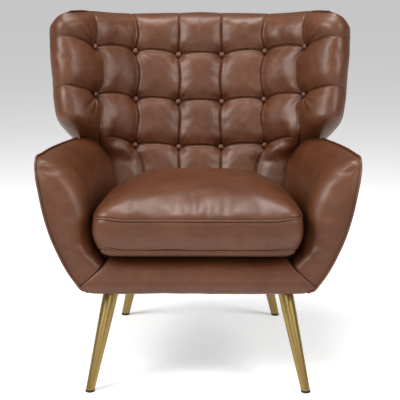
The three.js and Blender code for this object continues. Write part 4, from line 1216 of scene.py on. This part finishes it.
# ------------------------------------------------------------------ legs and glides
def leg(top, foot, sx):
    prof = [(5.8, 11.6), (9, 12.0), (20, 12.4), (60, 13.6), (100, 15.0), (140, 16.6), (190, 18.5), (240, 20.0), (250, 20.3), (254, 20.4), (256.8, 20.0), (258.2, 19.0), (258.2, 5.0), (296, 4.0)]
    rings = []
    for z_, r_ in prof:
        t = 1 - z_ / 254
        cx, cy = lerp(top[0], foot[0], t), lerp(top[1], foot[1], t)
        a = np.arange(48) / 48 * 2 * math.pi
        rings.append(np.stack([sx * (cx + r_ * np.cos(a)), cy + r_ * np.sin(a), np.full(48, z_)], axis=1))
    return np.array(rings)


def glide(top, foot, sx):
    rings = []
    for z_, r_ in [(0, 10.6), (0.5, 11.6), (1.3, 12.1), (2.6, 12.2), (4.2, 12.2), (5.1, 12.0), (5.5, 11.4)]:
        t = 1 - z_ / 254
        cx, cy = lerp(top[0], foot[0], t), lerp(top[1], foot[1], t)
        a = np.arange(40) / 40 * 2 * math.pi
        rings.append(np.stack([sx * (cx + r_ * np.cos(a)), cy + r_ * np.sin(a), np.full(40, z_)], axis=1))
    return np.array(rings)


for nm, top_, foot_ in (("front", (226, -258), (280, -348)), ("rear", (176, 224), (234, 321))):
    for side_, sx in (("left", 1), ("right", -1)):
        ob = tube_loft(f"leg_tube_{nm}_{side_}", leg(top_, foot_, sx), M_BRASS)
        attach(ob, "chair"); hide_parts(f"leg_{nm}_{side_}")
        ob = tube_loft(f"leg_glide_{nm}_{side_}", glide(top_, foot_, sx), M_GLIDE)
        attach(ob, "chair"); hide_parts(f"glide_{nm}_{side_}")

# ------------------------------------------------------------------ carried-over CAD nodes get their materials
def paint(name, mat):
    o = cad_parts[name]
    if o.data.materials:
        for i in range(len(o.material_slots)):
            o.material_slots[i].material = mat
    else:
        o.data.materials.append(mat)


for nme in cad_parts:
    if nme.startswith(("corner_block", "seat_rail", "arm_frame", "back_post", "back_top", "back_lower")):
        paint(nme, M_WOOD)
    elif nme.startswith("spring"):
        paint(nme, M_STEEL)
paint("dust_cover", M_DUST)
paint("cushion_core", M_CORE)
paint("zip_chain", M_TAPE)
paint("zip_slider", M_ZIPMETAL)

# ------------------------------------------------------------------ stage and light
def stage_mat():
    m, nt, b = new_mat("floor_pale")
    tc = node(nt, "ShaderNodeTexCoord")
    n = node(nt, "ShaderNodeTexNoise", Scale=2.0, Detail=2.0)
    nt.links.new(tc.outputs["Object"], n.inputs["Vector"])
    col = ramp(nt, n.outputs["Fac"], [(0.3, (0.86, 0.86, 0.86)), (0.7, (0.88, 0.88, 0.88))])
    nt.links.new(col, b.inputs["Base Color"])
    b.inputs["Roughness"].default_value = 0.6
    b.inputs["Specular IOR Level"].default_value = 0.2
    b.inputs["Emission Color"].default_value = (1, 1, 1, 1)
    b.inputs["Emission Strength"].default_value = 0.28
    return m


fl = bpy.data.meshes.new("floor")
fl.from_pydata([(-60, -60, 0), (60, -60, 0), (60, 60, 0), (-60, 60, 0)], [], [(0, 1, 2, 3)])
floor = bpy.data.objects.new("floor", fl)
fl.materials.append(stage_mat())
bpy.context.scene.collection.objects.link(floor)

world = bpy.data.worlds.new("world")
world.use_nodes = True
bg = world.node_tree.nodes.get("Background")
bg.inputs[0].default_value = (1, 1, 1, 1)
bg.inputs[1].default_value = 0.24
bpy.context.scene.world = world


def area(name, loc, target, size, power, size_y=None):
    d = bpy.data.lights.new(name, "AREA")
    d.shape = "RECTANGLE"
    d.size = size
    d.size_y = size_y or size
    d.energy = power
    o = bpy.data.objects.new(name, d)
    o.location = loc
    o.rotation_euler = (Vector(target) - Vector(loc)).to_track_quat("-Z", "Y").to_euler()
    bpy.context.scene.collection.objects.link(o)
    return o


area("key", (-1.9, -1.5, 2.3), (0, 0, .55), 1.2, 80, 1.8)
area("key_right", (2.1, -1.6, 2.2), (0, 0, .55), 1.2, 52, 1.8)
area("front", (0.0, -3.4, 1.5), (0, 0, .4), 1.6, 14, 0.9)
area("top", (0.0, 0.0, 3.0), (0, 0, .5), 1.1, 44)
bpy.context.scene.view_settings.view_transform = "Standard"
bpy.context.scene.view_settings.look = "Medium High Contrast"
